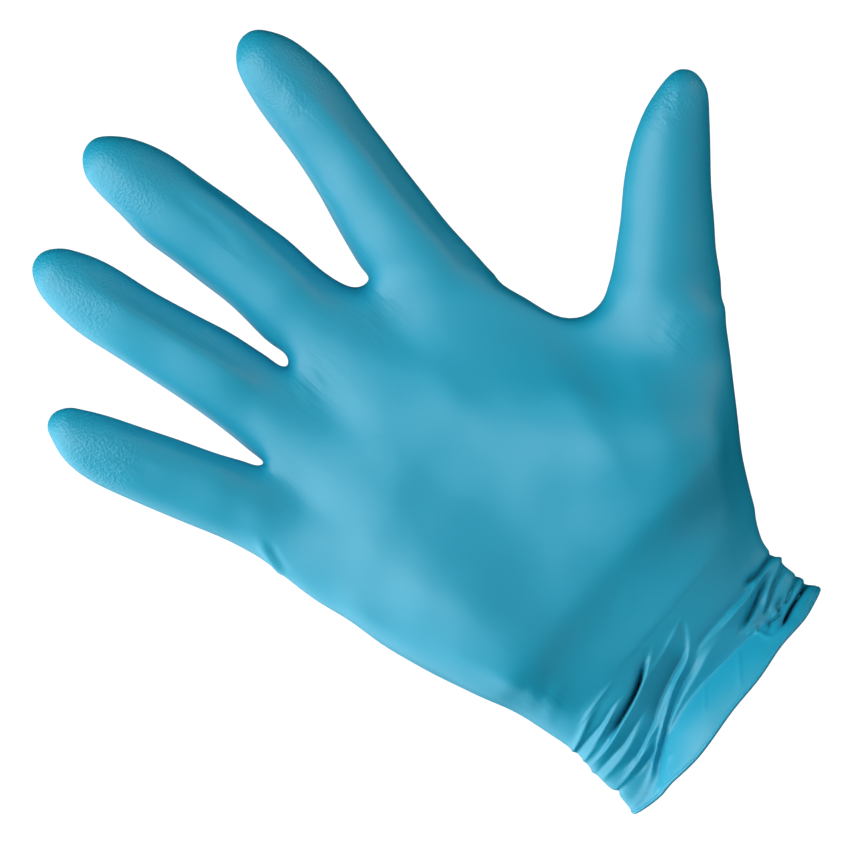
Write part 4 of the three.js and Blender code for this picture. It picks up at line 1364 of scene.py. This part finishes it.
def add_light(name, light):
    """Adds a round soft light that points at the middle of the picture."""
    data = bpy.data.lights.new(name, "AREA")
    data.shape = "DISK"
    data.size = light.size
    data.energy = light.power
    obj = bpy.data.objects.new(name, data)
    bpy.context.scene.collection.objects.link(obj)
    obj.visible_glossy = bool(light.sheen)
    away = PICTURE_RIGHT * light.right + PICTURE_UP * light.up + TO_VIEWER * light.viewer
    away.normalize()
    side = away.orthogonal().normalized()
    obj.matrix_world = facing(
        side, away.cross(side), away, PICTURE_MIDDLE + away * light.distance
    )


class EXAMGLOVE_OT_stage(bpy.types.Operator):
    """Set up the white studio: floor, world, soft lights and camera"""
    bl_idname = "exam_glove.stage"
    bl_label = "Stage"

    def execute(self, context):
        scene = context.scene
        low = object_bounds()[0]
        mesh = bpy.data.meshes.new("floor")
        corners = [(-1, -1), (1, -1), (1, 1), (-1, 1)]
        mesh.from_pydata(
            [(x * FLOOR_HALF, y * FLOOR_HALF, 0) for x, y in corners], [], [(0, 1, 2, 3)]
        )
        mesh.materials.append(white_studio("studio_white", STUDIO_GLOW))
        floor = bpy.data.objects.new("floor", mesh)
        floor.location = (0, 0, low.z - FLOOR_GAP)
        floor.visible_diffuse = False
        floor.visible_glossy = False
        scene.collection.objects.link(floor)
        floor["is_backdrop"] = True

        world = bpy.data.worlds.new("studio")
        world.use_nodes = True
        background = world.node_tree.nodes["Background"].inputs
        background["Color"].default_value = (1, 1, 1, 1)
        background["Strength"].default_value = STUDIO_GLOW
        world.cycles_visibility.diffuse = False
        world.cycles_visibility.glossy = False
        scene.world = world
        scene.view_settings.view_transform = "Standard"
        scene.view_settings.look = "None"

        for order, light in enumerate(LIGHTS):
            add_light(LIGHT_NAMES[order], light)

        data = bpy.data.cameras.new("camera")
        data.sensor_width = SENSOR_WIDTH
        data.lens = SENSOR_WIDTH * CAMERA_DISTANCE / PICTURE_WIDTH
        data.clip_end = CAMERA_REACH
        camera = bpy.data.objects.new("camera", data)
        scene.collection.objects.link(camera)
        camera.matrix_world = facing(
            PICTURE_RIGHT, PICTURE_UP, TO_VIEWER, PICTURE_MIDDLE + TO_VIEWER * CAMERA_DISTANCE
        )
        scene.camera = camera
        return {"FINISHED"}


class EXAMGLOVE_PT_panel(bpy.types.Panel):
    """Panel with the glove's sizes, colour and build steps"""
    bl_idname = "EXAMGLOVE_PT_panel"
    bl_label = "Exam Glove"
    bl_space_type = "VIEW_3D"
    bl_region_type = "UI"
    bl_category = "Exam Glove"

    def draw(self, context):
        for group in (context.scene.exam_glove_sizes, context.scene.exam_glove_colours):
            for name in group.__annotations__:
                self.layout.prop(group, name)
        for operator in STEPS:
            self.layout.operator(operator.bl_idname)


STEPS = (EXAMGLOVE_OT_film, EXAMGLOVE_OT_bead, EXAMGLOVE_OT_stage)
CLASSES = (ExamGloveSizes, ExamGloveColours, *STEPS, EXAMGLOVE_PT_panel)


def register():
    for item in CLASSES:
        bpy.utils.register_class(item)
    bpy.types.Scene.exam_glove_sizes = bpy.props.PointerProperty(type=ExamGloveSizes)
    bpy.types.Scene.exam_glove_colours = bpy.props.PointerProperty(type=ExamGloveColours)


def unregister():
    del bpy.types.Scene.exam_glove_colours
    del bpy.types.Scene.exam_glove_sizes
    for item in reversed(CLASSES):
        bpy.utils.unregister_class(item)


def main():
    register()
    bpy.ops.exam_glove.film()
    bpy.ops.exam_glove.bead()
    bpy.ops.exam_glove.stage()
    visual_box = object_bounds()
    boxes = {
        name: [list(corner) for corner in box]
        for name, box in (("cad", CAD_BOX), ("visual", visual_box))
    }


if __name__ == "__main__":
    main()
